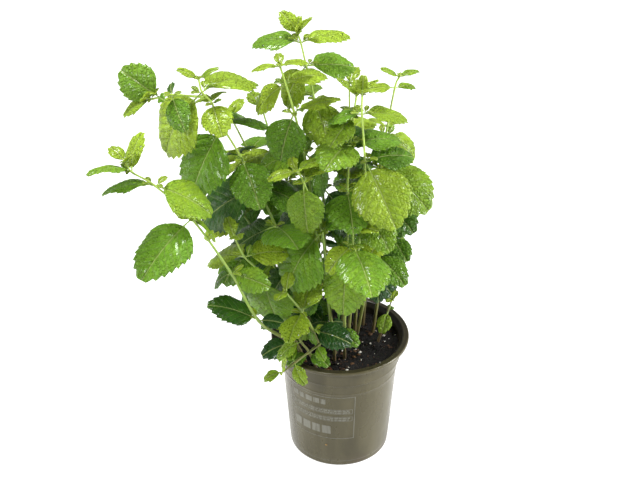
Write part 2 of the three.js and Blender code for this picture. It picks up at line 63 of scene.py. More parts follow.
@dataclass(frozen=True)
class PotSize:
    """The moulded pot's sizes."""

    height: float = 114.0
    rim_radius: float = 60.0
    lip_height: float = 3.4
    lip_inner_radius: float = 55.5
    band_height: float = 19.0
    band_radius: float = 52.8
    body_top_radius: float = 51.0
    base_radius: float = 44.0
    wall: float = 1.5
    floor: float = 2.0
    drain_holes: int = 6
    drain_hole_radius: float = 4.0
    drain_ring_radius: float = 33.0

    @property
    def band_foot(self) -> float:
        """The height at which the upright band starts."""
        return self.height - self.band_height

    @property
    def lip_foot(self) -> float:
        """The height at which the lip starts."""
        return self.height - self.lip_height

    def wall_radius(self, height: float) -> float:
        """The outside radius of the wall.

        Args:
            height: A height below the lip, from the foot up.

        Returns:
            The radius there.
        """
        if height >= self.band_foot:
            return self.band_radius
        return mix(self.base_radius, self.body_top_radius, height / self.band_foot)


@dataclass(frozen=True)
class SoilSize:
    """The soil bed's sizes."""

    top: float = 104.0
    lump: float = 1.8
    clearance: float = 0.3


@dataclass(frozen=True)
class StemSize:
    """The square stems' sizes."""

    base_radius: float = 1.9
    tip_radius: float = 0.8
    branch_share: float = 0.6
    buried: float = 12.0
    samples_per_span: int = 12


@dataclass(frozen=True)
class LeafSize:
    """The rules that every leaf's shape follows."""

    width_ratio: float = 0.98
    young_width_ratio: float = 0.6
    grown_length: float = 46.0
    petiole_ratio: float = 0.13
    young_petiole_ratio: float = 0.03
    petiole_width: float = 1.7
    fullest: float = 0.8
    roundness: float = 0.64
    bend: float = 42.0
    dome: float = 0.32
    fold: float = 0.22
    ripple: float = 0.035
    face_light: float = 1.2
    lit_below: float = 12.0  # a leaf that rises more steeply than this keeps its own face
    lit_over: float = 42.0  # and over this many degrees below that, the light turns it more and more
    least_width: float = 0.94  # share of its usual width that the narrowest leaf has
    width_spread: float = 0.12
    least_bend: float = 0.6
    bend_spread: float = 0.8
    wave_beats: float = 9.0  # radians of the edge's wave along a blade
    wave_lag: float = 2.0  # radians by which one edge runs ahead of the other
    age_power: float = 0.8
    turn_spread: float = 10.0
    roll_spread: float = 24.0
    sample_step: float = 3.0
    gap: float = 3.0
    stem_gap: float = 4.4
    soil_gap: float = 2.0
    rim_gap: float = 3.0


@dataclass(frozen=True)
class Growth:
    """How the evenly grown stems are drawn; a spread is the whole width of a random draw."""

    top_pair: float = 0.96
    lean: float = 1.4
    place_spread: float = 3.0
    turn_spread: float = 24.0
    tilt_spread: float = 14.0
    low_tilt: float = -34.0
    high_tilt: float = 14.0
    tip_size: float = 0.4
    tip_tilt: float = 42.0
    least_size: float = 0.6  # share of the largest leaf's size, before the swell along the stem
    size_swell: float = 0.4
    swell_start: float = 0.15  # shares of half a wave at the lowest pair, and from there to the highest
    swell_span: float = 0.7


@dataclass(frozen=True)
class TipRule:
    """A growing tip with leaves longer than the first size has a second, steeper pair inside."""

    two_pairs_over: float = 17.0
    inner_size: float = 0.62
    inner_rise: float = 22.0


POT = PotSize()
SOIL = SoilSize()
STEM = StemSize()
LEAF = LeafSize()
GROWTH = Growth()
TIP = TipRule()

LIGHT = np.array([0.0, -0.62, 0.78])  # blades turn their faces this way
ALONGSIDE = 0.95  # cosine between two directions over which they count as the same

# What a leaf may change, in this order, to clear what already stands near it.
DODGE_SCALES = (1.0, 0.86, 0.72)
DODGE_TURNS = (0, 12, -12, 24, -24, 38, -38, 52, -52, 68, -68)
DODGE_TILTS = (0, 13, -13, 26, -26, 40, -40, 55)


@dataclass(frozen=True)
class GrowthRule:
    """A stem that grows evenly from its root and leans out to its tip."""

    root: tuple[float, float]
    tip: tuple[float, float, float]
    first: float
    pairs: int
    size: float
    turn: float


@dataclass(frozen=True)
class StemPlan:
    """One leafy stem.

    Each node is a place (x, y, z), then the compass turn of one leaf of its pair, its length and its tilt
    above the horizon, and the other leaf's length and tilt where they differ. A node with no length is bare.
    """

    name: str
    seed: int
    nodes: tuple[tuple[float, ...], ...] = ()
    branches: tuple[tuple[tuple[float, ...], ...], ...] = ()
    rule: GrowthRule | None = None


STEMS = (
    StemPlan(
        "stem_tall_centre",
        11,
        nodes=(
            (-6, 4, 92), (-9, 2, 142, 20, 22, -25), (-12, 0, 180, 110, 30, -25),
            (-14, 0, 218, 20, 36, -22), (-15, 2, 256, 300, 42, -22, 34, 0),
            (-17, 4, 298, 170, 42, -12, 40, 16), (-22, 4, 334, 290, 36, -36, 34, 5),
            (-28, 4, 361, 20, 36, -6, 34, -42), (-32, 6, 379, 182, 34, 24, 34, 16),
            (-34, 6, 385, 140, 20, 62),
        ),
    ),
    StemPlan(
        "stem_front_centre",
        12,
        nodes=(
            (-3, -14, 92), (-8, -26, 142, 150, 22, -15), (-12, -34, 186, 15, 34, -20),
            (-16, -42, 240, 212, 50, -34, 32, 8), (-30, -50, 289, 256, 36, -62, 28, 20),
            (-35, -52, 299, 200, 20, 18),
        ),
    ),
    StemPlan(
        "stem_left_of_tall",
        13,
        nodes=(
            (-14, 8, 92), (-17, -4, 158, 60, 26, -25), (-19, -10, 200, 140, 34, -25),
            (-23, -17, 250, 220, 40, -25), (-30, -21, 300, 5, 38, -12),
            (-37, -24, 335, 232, 36, -48, 32, 18), (-43, -26, 359, 190, 29, -20, 29, 20),
            (-47, -26, 373, 186, 19, 16),
        ),
    ),
    StemPlan(
        "stem_mid_right",
        14,
        nodes=(
            (-2, -5, 92), (4, -13, 160, 200, 24, -30), (5, -18, 210, 90, 34, -25),
            (4, -23, 266, 222, 42, -48, 36, -5), (6, -24, 308, 195, 38, -42, 36, 0),
            (8, -24, 332, 285, 28, -20, 24, 5), (10, -24, 348, 10, 18, 55),
        ),
    ),
    StemPlan(
        "stem_upper_left",
        15,
        nodes=(
            (-22, 2, 92), (-30, -8, 148, 195, 24, -25), (-41, -20, 196, 240, 40, -35),
            (-53, -26, 236, 150, 44, -20), (-66, -30, 274, 188, 50, -14, 40, -10),
            (-78, -32, 301, 286, 38, -34, 30, 0), (-91, -34, 328, 208, 52, -40, 52, -10),
            (-98, -34, 347, 280, 30, -14, 30, 5), (-105, -34, 356, 206, 52, -30, 44, 6),
            (-107, -34, 366, 175, 15, 40),
        ),
        branches=(
            (
                (-104, -34, 352), (-127, -37, 355, 262, 27, -40, 12, 20),
                (-136, -39, 354, 120, 32, 85, 12, 20), (-142, -40, 353, 195, 22, 38, 8, 20),
            ),
        ),
    ),
    StemPlan(
        "stem_left_sprawling",
        16,
        nodes=(
            (-31, -17, 92), (-42, -33, 126, 196, 24, 14, 12, 0), (-67, -60, 168, 176, 38, 48, 18, 0),
            (-86, -74, 222, 165, 20, -22, 28, -14), (-113, -80, 274, 220, 52, -6, 27, -52),
            (-139, -78, 301, 190, 35, 38, 42, -42), (-155, -76, 311, 30, 27, 62, 31, 52),
            (-159, -76, 319, 130, 16, 45),
        ),
    ),
    StemPlan(
        "stem_right_tall",
        17,
        nodes=(
            (12, 10, 92), (16, 8, 158), (24, 2, 200, 150, 32, -25), (32, 5, 244, 60, 36, -10),
            (31, 6, 270, 300, 46, -50, 38, 5), (35, 8, 300, 350, 30, -22, 28, -10),
            (41, 10, 340, 190, 22, 5, 15, 18), (44, 10, 349, 20, 15, 32),
        ),
    ),
    StemPlan(
        "stem_right_mid",
        18,
        nodes=(
            (6, -6, 92), (9, -14, 158), (13, -22, 206, 25, 36, -20), (17, -29, 254, 120, 36, -20),
            (17, -33, 298, 266, 50, -60, 36, 8), (14, -34, 338, 5, 32, 4, 24, 4),
            (14, -34, 353, 90, 14, 50),
        ),
    ),
    StemPlan(
        "stem_low_right",
        19,
        nodes=(
            (4, -20, 92), (3, -33, 144), (5, -50, 221, 258, 42, -58, 26, 0),
            (8, -56, 236, 352, 46, 2, 26, -10), (8, -57, 252, 90, 18, 60),
        ),
    ),
    StemPlan(
        "stem_low_left",
        20,
        nodes=(
            (-26, -26, 92), (-45, -43, 154, 200, 32, -14, 16, 0), (-62, -52, 204, 240, 44, -44, 30, 0),
            (-76, -60, 228, 190, 40, -22, 32, -5), (-83, -62, 246, 110, 16, 50),
        ),
    ),
    StemPlan(
        "stem_right_low",
        21,
        nodes=(
            (30, 0, 92), (38, -1, 122), (41, -2, 138, 250, 18, -50, 10, 0), (44, -2, 149, 60, 9, 30),
        ),
    ),
    StemPlan(
        "stem_runner",
        22,
        nodes=(
            (-5, -26, 92), (-5, -32, 122), (-3, -36, 142, 345, 20, 0, 12, 20),
            (-20, -51, 136, 110, 16, 20), (-38, -63, 128, 250, 18, 0), (-48, -69, 123, 196, 15, 42),
        ),
    ),
    StemPlan(
        "stem_front_low",
        23,
        nodes=(
            (-18, -34, 92), (-26, -42, 122, 320, 19, 10), (-33, -48, 138, 230, 22, 4),
            (-37, -51, 152, 140, 15, 40),
        ),
    ),
    StemPlan("stem_back_centre", 31, rule=GrowthRule((2, 20), (6, 30, 334), 0.3, 5, 42, 75)),
    StemPlan("stem_back_right", 32, rule=GrowthRule((20, 26), (38, 38, 292), 0.34, 5, 40, 20)),
    StemPlan("stem_back_left", 33, rule=GrowthRule((-14, 26), (-64, 24, 316), 0.3, 5, 44, 120)),
    StemPlan("stem_mid_left", 34, rule=GrowthRule((-30, 12), (-96, 2, 262), 0.3, 4, 44, 200)),
    StemPlan("stem_left_back", 38, rule=GrowthRule((-26, 33), (-90, 40, 300), 0.5, 4, 46, 60)),
    StemPlan("stem_front_right", 35, rule=GrowthRule((12, 2), (38, -31, 246), 0.62, 3, 31, 320)),
    StemPlan("stem_front_left", 36, rule=GrowthRule((-9, -31), (-44, -68, 200), 0.52, 2, 38, 250)),
    StemPlan("stem_right_back", 37, rule=GrowthRule((28, 14), (48, 8, 250), 0.58, 3, 26, 300)),
)

# ---------------------------------------------------------- small helpers


def mix(low: float, high: float, share: float) -> float:
    """The value a share of the way from low to high."""
    return low + (high - low) * share


def unit(vector: np.ndarray) -> np.ndarray:
    """The vector at length 1."""
    return vector / np.linalg.norm(vector)


def linear(colour: str) -> tuple[float, float, float, float]:
    """Turns an sRGB hex colour into the linear colour that shaders take.

    Args:
        colour: A colour such as "#7d7662".

    Returns:
        Linear red, green and blue, and an alpha of 1.
    """
    parts = [int(colour[i : i + 2], 16) / 255 for i in (1, 3, 5)]
    red, green, blue = (c / 12.92 if c <= 0.04045 else ((c + 0.055) / 1.055) ** 2.4 for c in parts)
    return (red, green, blue, 1.0)


class ParkMiller:
    """Random numbers from 0 to 1 that are the same on every run."""

    def __init__(self, seed: int) -> None:
        """Starts the sequence from a seed."""
        self.state = seed * 7919

    def draw(self) -> float:
        """The next number."""
        self.state = self.state * 48271 % 2147483647
        return self.state / 2147483647

    def between(self, low: float, high: float) -> float:
        """The next number, spread from low to high."""
        return mix(low, high, self.draw())


# ---------------------------------------------------------- meshes


class Draft:
    """A mesh that is being put together: points in mm, faces, and what the shaders read at each point."""

    def __init__(self) -> None:
        """Starts with nothing."""
        self.points: list[np.ndarray] = []
        self.places: list[np.ndarray] = []
        self.tones: list[np.ndarray] = []
        self.quads: list[np.ndarray] = []
        self.finishes: list[np.ndarray] = []
        self.count = 0
        self.last_start = 0

    def add(
        self,
        points: np.ndarray,
        quads: np.ndarray,
        finish: int = 0,
        place: np.ndarray | None = None,
        tone: Sequence[float] | np.ndarray = (0.5, 0.5, 0.5),
    ) -> None:
        """Adds one patch of faces.

        Args:
            points: An (n, 3) array of places in mm.
            quads: An (m, 4) array of indices into points; a triangle repeats its last index.
            finish: The slot of the material that the patch wears.
            place: An (n, 3) array for the attribute "place", or None for zeros.
            tone: The attribute "tone", as age, luck and a spare number: one row for the whole patch or one
                for each point.
        """
        self.points.append(points)
        self.places.append(np.zeros_like(points) if place is None else place)
        self.tones.append(np.broadcast_to(np.asarray(tone, dtype=float), points.shape))
        self.quads.append(np.asarray(quads, dtype=int) + self.count)
        self.finishes.append(np.full(len(quads), finish))
        self.last_start = self.count
        self.count += len(points)

    def share_last(self, quads: np.ndarray, finish: int) -> None:
        """Adds faces on the points of the last patch, in the material of another slot."""
        self.quads.append(np.asarray(quads, dtype=int) + self.last_start)
        self.finishes.append(np.full(len(quads), finish))

    def build(self, name: str, *stuffs: Stuff, smooth: bool = True) -> Object:
        """Makes the object.

        Args:
            name: The object's name.
            stuffs: The finish of each slot.
            smooth: Whether its faces are shaded smooth.

        Returns:
            The new object, linked to the scene.
        """
        quads = np.concatenate(self.quads)
        corners = np.where(quads[:, 2] == quads[:, 3], 3, 4)
        loops = quads[np.arange(4)[None, :] < corners[:, None]]
        mesh = bpy.data.meshes.new(name)
        mesh.vertices.add(self.count)
        mesh.vertices.foreach_set("co", (np.concatenate(self.points) * MM).ravel())
        mesh.loops.add(len(loops))
        mesh.loops.foreach_set("vertex_index", loops)
        mesh.polygons.add(len(quads))
        mesh.polygons.foreach_set("loop_start", np.concatenate([[0], np.cumsum(corners)[:-1]]))
        mesh.polygons.foreach_set("material_index", np.concatenate(self.finishes))
        mesh.update(calc_edges=True)
        mesh.validate()
        mesh.polygons.foreach_set("use_smooth", np.full(len(mesh.polygons), smooth))
        for label, values in (("place", self.places), ("tone", self.tones)):
            attribute = mesh.attributes.new(label, "FLOAT_VECTOR", "POINT")
            attribute.data.foreach_set("vector", np.concatenate(values).ravel())
        for stuff in stuffs:
            mesh.materials.append(finish(stuff))
        thing = bpy.data.objects.new(name, mesh)
        bpy.context.scene.collection.objects.link(thing)
        return thing


def grid_quads(rows: int, columns: int, closed: bool = False) -> np.ndarray:
    """The faces of a grid of points.

    Args:
        rows: How many rows of points there are.
        columns: How many points each row has.
        closed: Whether the last point of each row joins the first.

    Returns:
        An (m, 4) array of point indices.
    """
    across = columns if closed else columns - 1
    row, column = np.meshgrid(np.arange(rows - 1), np.arange(across), indexing="ij")
    here = row * columns + column
    beside = row * columns + (column + 1) % columns
    return np.stack([here, beside, beside + columns, here + columns], axis=-1).reshape(-1, 4)


def capped_quads(rows: int, columns: int, flip: bool = False) -> np.ndarray:
    """The faces of a row of rings that closes over one more point at each end.

    Args:
        rows: How many rings there are; the two end points follow them.
        columns: How many points each ring has.
        flip: Whether the faces look the other way.

    Returns:
        An (m, 4) array of point indices.
    """
    quads = grid_quads(rows, columns, closed=True)
    here = np.arange(columns)
    beside = (here + 1) % columns
    if flip:
        quads, here, beside = quads[:, ::-1], beside, here
    first, last = np.full(columns, rows * columns), (rows - 1) * columns
    foot = np.stack([first, beside, here, here], axis=1)
    head = np.stack([first + 1, last + here, last + beside, last + beside], axis=1)
    return np.concatenate([quads, foot, head])


def tube(
    path: np.ndarray,
    radii: np.ndarray,
    sides: int,
    section: Callable[[np.ndarray], np.ndarray] = np.ones_like,
    first_across: Sequence[float] = (1.0, 0.0, 0.0),
) -> tuple[np.ndarray, np.ndarray]:
    """A closed tube along a path.

    Args:
        path: An (n, 3) array of places on its middle line.
        radii: Its radius at each of them.
        sides: How many points go round it.
        section: Gives the share of the radius at an angle round it.
        first_across: The direction of angle 0 at the path's start.

    Returns:
        Its points and its faces, with a point in the middle of each end.
    """
    ahead = np.gradient(path, axis=0)
    ahead /= np.linalg.norm(ahead, axis=1)[:, None]
    across = np.array(first_across)
    if abs(across @ ahead[0]) > ALONGSIDE:
        across = np.array([0.0, 1.0, 0.0])
    turns = np.arange(sides) * 2 * math.pi / sides
    share = section(turns)
    rings = []
    for centre, direction, radius in zip(path, ahead, radii):
        across = unit(across - direction * (across @ direction))
        beside = np.cross(direction, across)
        ring = np.cos(turns)[:, None] * across + np.sin(turns)[:, None] * beside
        rings.append(centre + radius * share[:, None] * ring)
    return np.concatenate([*rings, path[:1], path[-1:]]), capped_quads(len(path), sides)


def turned(profile: Sequence[tuple[float, float]], segments: int) -> tuple[np.ndarray, np.ndarray]:
    """A solid of revolution about Z.

    Args:
        profile: Its outline as (radius, height), from the axis round to the axis.
        segments: How many facets go round it.

    Returns:
        Its points and its faces.
    """
    turns = np.arange(segments) * 2 * math.pi / segments
    radius, height = np.array(profile[1:-1]).T
    ways = (np.cos(turns), np.sin(turns), np.ones(segments))
    rings = np.stack([np.outer(size, way) for size, way in zip((radius, radius, height), ways)], axis=-1)
    ends = np.array([[0, 0, profile[0][1]], [0, 0, profile[-1][1]]])
    return np.concatenate([rings.reshape(-1, 3), ends]), capped_quads(len(radius), segments)


def arc(
    centre: tuple[float, float], radius: float, start: float, end: float, steps: int
) -> list[tuple[float, float]]:
    """Points on a round stretch of a profile.

    Args:
        centre: Its centre as (radius, height).
        radius: Its own radius.
        start: The angle at which it starts, in degrees, where 0 is outwards and 90 is up.
        end: The angle at which it ends.
        steps: How many lengths it is split into.

    Returns:
        Its points, from start to end.
    """
    angles = np.radians(np.linspace(start, end, steps + 1))
    return [(centre[0] + radius * math.cos(a), centre[1] + radius * math.sin(a)) for a in angles]


def pebble(random: ParkMiller, sides: int = 7, rings: int = 4) -> tuple[np.ndarray, np.ndarray]:
    """A small lumpy grain about 1 across.

    Args:
        random: Where its lumps are drawn from.
        sides: How many points go round it.
        rings: How many bands of faces it has from foot to head.

    Returns:
        Its points and its faces.
    """
    points = []
    for ring in range(1, rings):
        latitude = math.pi * ring / rings - math.pi / 2
        for side in range(sides):
            turn = 2 * math.pi * (side + 0.5 * (ring % 2)) / sides
            reach = 0.5 * random.between(0.72, 1.12)
            level = reach * math.cos(latitude)
            points.append([level * math.cos(turn), level * math.sin(turn), reach * math.sin(latitude)])
    points += [[0, 0, -0.42], [0, 0, 0.42]]
    return np.array(points), capped_quads(rings - 1, sides)

# ---------------------------------------------------------- how the plant grows


def grown_nodes(rule: GrowthRule, random: ParkMiller) -> list[tuple[float, ...]]:
    """The nodes of a stem that grows evenly from its root and leans out to its tip.

    Args:
        rule: Where it stands and leans to, and its pairs of leaves.
        random: The stem's own random numbers.

    Returns:
        Its nodes, as in a StemPlan.
    """
    foot = SOIL.top - STEM.buried
    nodes: list[tuple[float, ...]] = [(*rule.root, foot)]
    for i in range(rule.pairs):
        share = rule.first + (GROWTH.top_pair - rule.first) * (i / rule.pairs)
        lean = share**GROWTH.lean
        up = i / (rule.pairs - 1)
        swell = math.sin(math.pi * (GROWTH.swell_start + GROWTH.swell_span * up))
        nodes.append(
            (
                mix(rule.root[0], rule.tip[0], lean) + GROWTH.place_spread * (random.draw() - 0.5),
                mix(rule.root[1], rule.tip[1], lean) + GROWTH.place_spread * (random.draw() - 0.5),
                mix(foot, rule.tip[2], share),
                rule.turn + 90 * (i + 1) + GROWTH.turn_spread * (random.draw() - 0.5),
                rule.size * (GROWTH.least_size + GROWTH.size_swell * swell),
                mix(GROWTH.low_tilt, GROWTH.high_tilt, up) + GROWTH.tilt_spread * (random.draw() - 0.5),
            )
        )
    nodes.append((*rule.tip, rule.turn, GROWTH.tip_size * rule.size, GROWTH.tip_tilt))
    return nodes


def smooth_line(places: np.ndarray, per_span: int) -> np.ndarray:
    """An even curve through places.

    Args:
        places: An (n, 3) array.
        per_span: How many steps it takes from each place to the next.

    Returns:
        The curve's points.
    """
    ends = np.concatenate([[2 * places[0] - places[1]], places, [2 * places[-1] - places[-2]]])
    points = []
    for span in range(len(places) - 1):
        before, start, end, after = ends[span : span + 4]
        leave, arrive = 0.5 * (end - before), 0.5 * (after - start)
        for step in range(per_span):
            t = step / per_span
            points.append(
                start
                + leave * t
                + (-3 * start + 3 * end - 2 * leave - arrive) * t**2
                + (2 * start - 2 * end + leave + arrive) * t**3
            )
    return np.array([*points, places[-1]])


class Run:
    """One unbranched length of stem, through its nodes."""

    def __init__(self, nodes: Sequence[tuple[float, ...]], base_radius: float) -> None:
        """Draws its middle line.

        Args:
            nodes: Its nodes, as in a StemPlan.
            base_radius: Its radius where it starts.
        """
        self.nodes = nodes
        self.base_radius = base_radius
        self.line = smooth_line(np.array([node[:3] for node in nodes], dtype=float), STEM.samples_per_span)

    def direction_at(self, node: int) -> np.ndarray:
        """The stem's direction at a node."""
        at = node * STEM.samples_per_span
        return unit(self.line[min(len(self.line) - 1, at + 1)] - self.line[max(0, at - 1)])


def outline(share: np.ndarray) -> np.ndarray:
    """Half of the blade's width at shares of its length, teeth left out, for a blade 1 wide."""
    inside = np.clip(share, 0, 1) ** LEAF.fullest
    return 0.5 * np.maximum(np.sin(np.pi * inside), 0) ** LEAF.roundness


class Leaf:
    """One leaf: where its blade starts, the three directions that it is built along, and its size."""

    def __init__(
        self,
        foot: np.ndarray,
        axis: np.ndarray,
        azimuth: float,
        tilt: float,
        roll: float,
        length: float,
        width_ratio: float,
        character: float,
        face_light: float,
    ) -> None:
        """Sets up its directions.

        Args:
            foot: Where it springs from the middle line of its stem.
            axis: The stem's direction there, turned towards upright.
            azimuth: The compass turn that it points to.
            tilt: How far it rises, in degrees.
            roll: How far it turns about its own midrib, in degrees.
            length: The length of its blade in mm.
            width_ratio: Its width as a share of that.
            character: A number from 0 to 1 that its bend and wave follow.
            face_light: How strongly its face turns to the light.
        """
        turn = math.radians(azimuth)
        level = np.array([math.cos(turn), math.sin(turn), 0.0])
        level = unit(level - axis * (level @ axis))
        c, s = math.cos(math.radians(tilt)), math.sin(math.radians(tilt))
        self.heading = level * c + axis * s
        flat = axis * c - level * s + LIGHT * face_light
        flat = unit(flat - self.heading * (flat @ self.heading))
        beside = np.cross(flat, self.heading)
        self.up = flat * math.cos(math.radians(roll)) + beside * math.sin(math.radians(roll))
        self.side = np.cross(self.up, self.heading)
        self.foot = foot
        self.length = length
        self.width = width_ratio * length
        grown = min(1.0, length / LEAF.grown_length)
        self.petiole = mix(LEAF.young_petiole_ratio, LEAF.petiole_ratio, grown) * length + STEM.base_radius
        self.bend = math.radians(LEAF.bend * (LEAF.least_bend + LEAF.bend_spread * character))
        self.phase = 2 * math.pi * character

    def point(self, along: np.ndarray, across: np.ndarray, lift: np.ndarray | float) -> np.ndarray:
        """Points of the blade.

        Args:
            along: How far each is along the midrib, in mm.
            across: How far across it.
            lift: How far off the blade's middle surface.

        Returns:
            Their places, one row each.
        """
        angle = self.bend * along / self.length
        radius = self.length / self.bend
        out = np.maximum(0, np.abs(across) - LEAF.petiole_width / 2) / (0.5 * self.width)
        beat = LEAF.wave_beats * along / self.length + self.phase + np.where(across > 0, LEAF.wave_lag, 0)
        wave = LEAF.ripple * self.length * out**2 * np.sin(beat)
        rise = LEAF.fold * np.abs(across) - LEAF.dome * 0.5 * self.width * out**2 + wave + lift
        forward = self.petiole + (radius + rise) * np.sin(angle)
        upward = -radius * (1 - np.cos(angle)) + rise * np.cos(angle)
        return (
            self.foot
            + forward[..., None] * self.heading
            + upward[..., None] * self.up
            + np.asarray(across)[..., None] * self.side
        )

    def samples(self) -> np.ndarray:
        """Points spread over the blade, close enough to show what comes near it.

        Returns:
            Their places, one row each.
        """
        rows = math.ceil(self.length / LEAF.sample_step)
        along, across = [], []
        for row in range(1, rows + 1):
            half = float(self.width * outline(np.array(row / rows - 0.5 / rows)))
            columns = math.ceil(half / LEAF.sample_step)
            for column in range(-columns, columns + 1):
                along.append(self.length * row / rows)
                across.append(half * column / columns)
        return self.point(np.array(along), np.array(across), 0.0)


@dataclass
class Cloud:
    """A cloud of points with the ball that holds it."""

    owner: int
    points: np.ndarray
    is_stem: bool = False
    centre: np.ndarray = field(init=False)
    reach: float = field(init=False)

    def __post_init__(self) -> None:
        """Works out the ball."""
        self.centre = self.points.mean(axis=0)
        self.reach = float(np.linalg.norm(self.points - self.centre, axis=1).max())

    def near(self, other: Cloud) -> bool:
        """Whether this leaf's cloud comes closer to another cloud than it may.

        Args:
            other: The other cloud.

        Returns:
            True if it does.
        """
        gap = LEAF.stem_gap if other.is_stem else LEAF.gap
        if np.linalg.norm(self.centre - other.centre) > self.reach + other.reach + gap:
            return False
        spans = self.points[:, None, :] - other.points[None, :, :]
        return bool(((spans**2).sum(axis=2) < gap * gap).any())


def clear_of_pot(points: np.ndarray) -> bool:
    """Whether points are clear of the soil and of the pot's rim.

    Args:
        points: An (n, 3) array of places.

    Returns:
        True if every point is.
    """
    radius = np.hypot(points[:, 0], points[:, 1])
    inside = POT.band_radius - POT.wall - LEAF.rim_gap
    lowest = np.where(
        radius > POT.rim_radius + LEAF.rim_gap,
        LEAF.rim_gap,
        np.where(radius > inside, POT.height + LEAF.soil_gap, SOIL.top + SOIL.lump + LEAF.soil_gap),
    )
    return bool((points[:, 2] > lowest).all())


@dataclass
class Shoot:
    """A leaf with what its looks follow: where it grew and how old it is."""

    leaf: Leaf
    age: float  # 0 at the tip of its run to 1 at the root
    at_tip: bool


class Stem:
    """One leafy stem of the plant as it has grown."""

    def __init__(self, plan: StemPlan, owner: int) -> None:
        """Draws its middle lines; its leaves come later.

        Args:
            plan: What it is to be.
            owner: Its place among the stems.
        """
        self.name = plan.name
        self.owner = owner
        self.random = ParkMiller(plan.seed)
        nodes = plan.nodes or grown_nodes(plan.rule, self.random)
        self.runs = [Run(nodes, STEM.base_radius)]
        self.runs += [Run(branch, STEM.branch_share * STEM.base_radius) for branch in plan.branches]
        self.shoots: list[Shoot] = []

    def add_leaves(self, number: int, placed: list[Cloud]) -> None:
        """Hangs a pair of leaves on each node of a run that isn't bare, and crossed pairs at its tip.

        Args:
            number: Which of its runs.
            placed: What stands already; each leaf is added to it.
        """
        run = self.runs[number]
        last = len(run.nodes) - 1
        for index, node in enumerate(run.nodes):
            if len(node) < 5:
                continue
            place, (turn, length, tilt) = np.array(node[:3], dtype=float), node[3:6]
            other_length = node[6] if len(node) > 6 else length
            other_tilt = node[7] if len(node) > 7 else tilt
            is_tip = index == last
            axis = unit(run.direction_at(index) + np.array([0.0, 0.0, 1.0]))
            pair = [(turn, length, tilt), (turn + 180, other_length, other_tilt)]
            if is_tip and length > TIP.two_pairs_over:
                inner = (TIP.inner_size * length, tilt + TIP.inner_rise)
                pair += [(turn + 90, *inner), (turn + 270, *inner)]
            for azimuth, size, rise in pair:
                jitter_turn = LEAF.turn_spread * (self.random.draw() - 0.5)
                roll = LEAF.roll_spread * (self.random.draw() - 0.5)
                character = self.random.draw()
                grown = min(1, size / LEAF.grown_length)
                ratio = mix(LEAF.young_width_ratio, LEAF.width_ratio, grown)
                ratio *= LEAF.least_width + LEAF.width_spread * character
                face_light = LEAF.face_light * min(1, max(0, (LEAF.lit_below - rise) / LEAF.lit_over))

                def make(dodge_turn: float, dodge_tilt: float, scale: float) -> Leaf:
                    """The leaf with one way of giving way."""
                    heading = (azimuth + jitter_turn + dodge_turn, rise + dodge_tilt, roll)
                    return Leaf(place, axis, *heading, size * scale, ratio, character, face_light)

                leaf = self.place(make, is_tip, placed)
                if leaf:
                    self.shoots.append(Shoot(leaf, (1 - index / last) ** LEAF.age_power, is_tip))

    def place(
        self, make: Callable[[float, float, float], Leaf], is_tip: bool, placed: list[Cloud]
    ) -> Leaf | None:
        """The leaf nearest to what was asked for that clears everything placed before it.

        Args:
            make: Makes the leaf from its turn, its tilt and its scale.
            is_tip: Whether it may crowd the leaves of its own stem.
            placed: What stands already; the leaf is added to it.

        Returns:
            The leaf, or None if there is no room for it.
        """
        others = [c for c in placed if not (c.owner == self.owner and (is_tip or c.is_stem))]
        centres = np.array([c.centre for c in others])
        reaches = np.array([c.reach for c in others]) + LEAF.stem_gap
        for scale, tilt, turn in product(DODGE_SCALES, DODGE_TILTS, DODGE_TURNS):
            leaf = make(turn, tilt, scale)
            points = leaf.samples()
            if not clear_of_pot(points):
                continue
            cloud = Cloud(self.owner, points)
            spans = np.linalg.norm(centres - cloud.centre, axis=1)
            if not any(cloud.near(others[i]) for i in np.flatnonzero(spans <= reaches + cloud.reach)):
                placed.append(cloud)
                return leaf
        return None


def grow_plant() -> list[Stem]:
    """Grows the whole plant.

    Returns:
        All the stems with their leaves, each clear of the others.
    """
    stems = [Stem(plan, owner) for owner, plan in enumerate(STEMS)]
    placed = [Cloud(stem.owner, run.line, True) for stem in stems for run in stem.runs]
    for stem in stems:
        for number in range(len(stem.runs)):
            stem.add_leaves(number, placed)
    return stems


# ---------------------------------------------------------- finishes


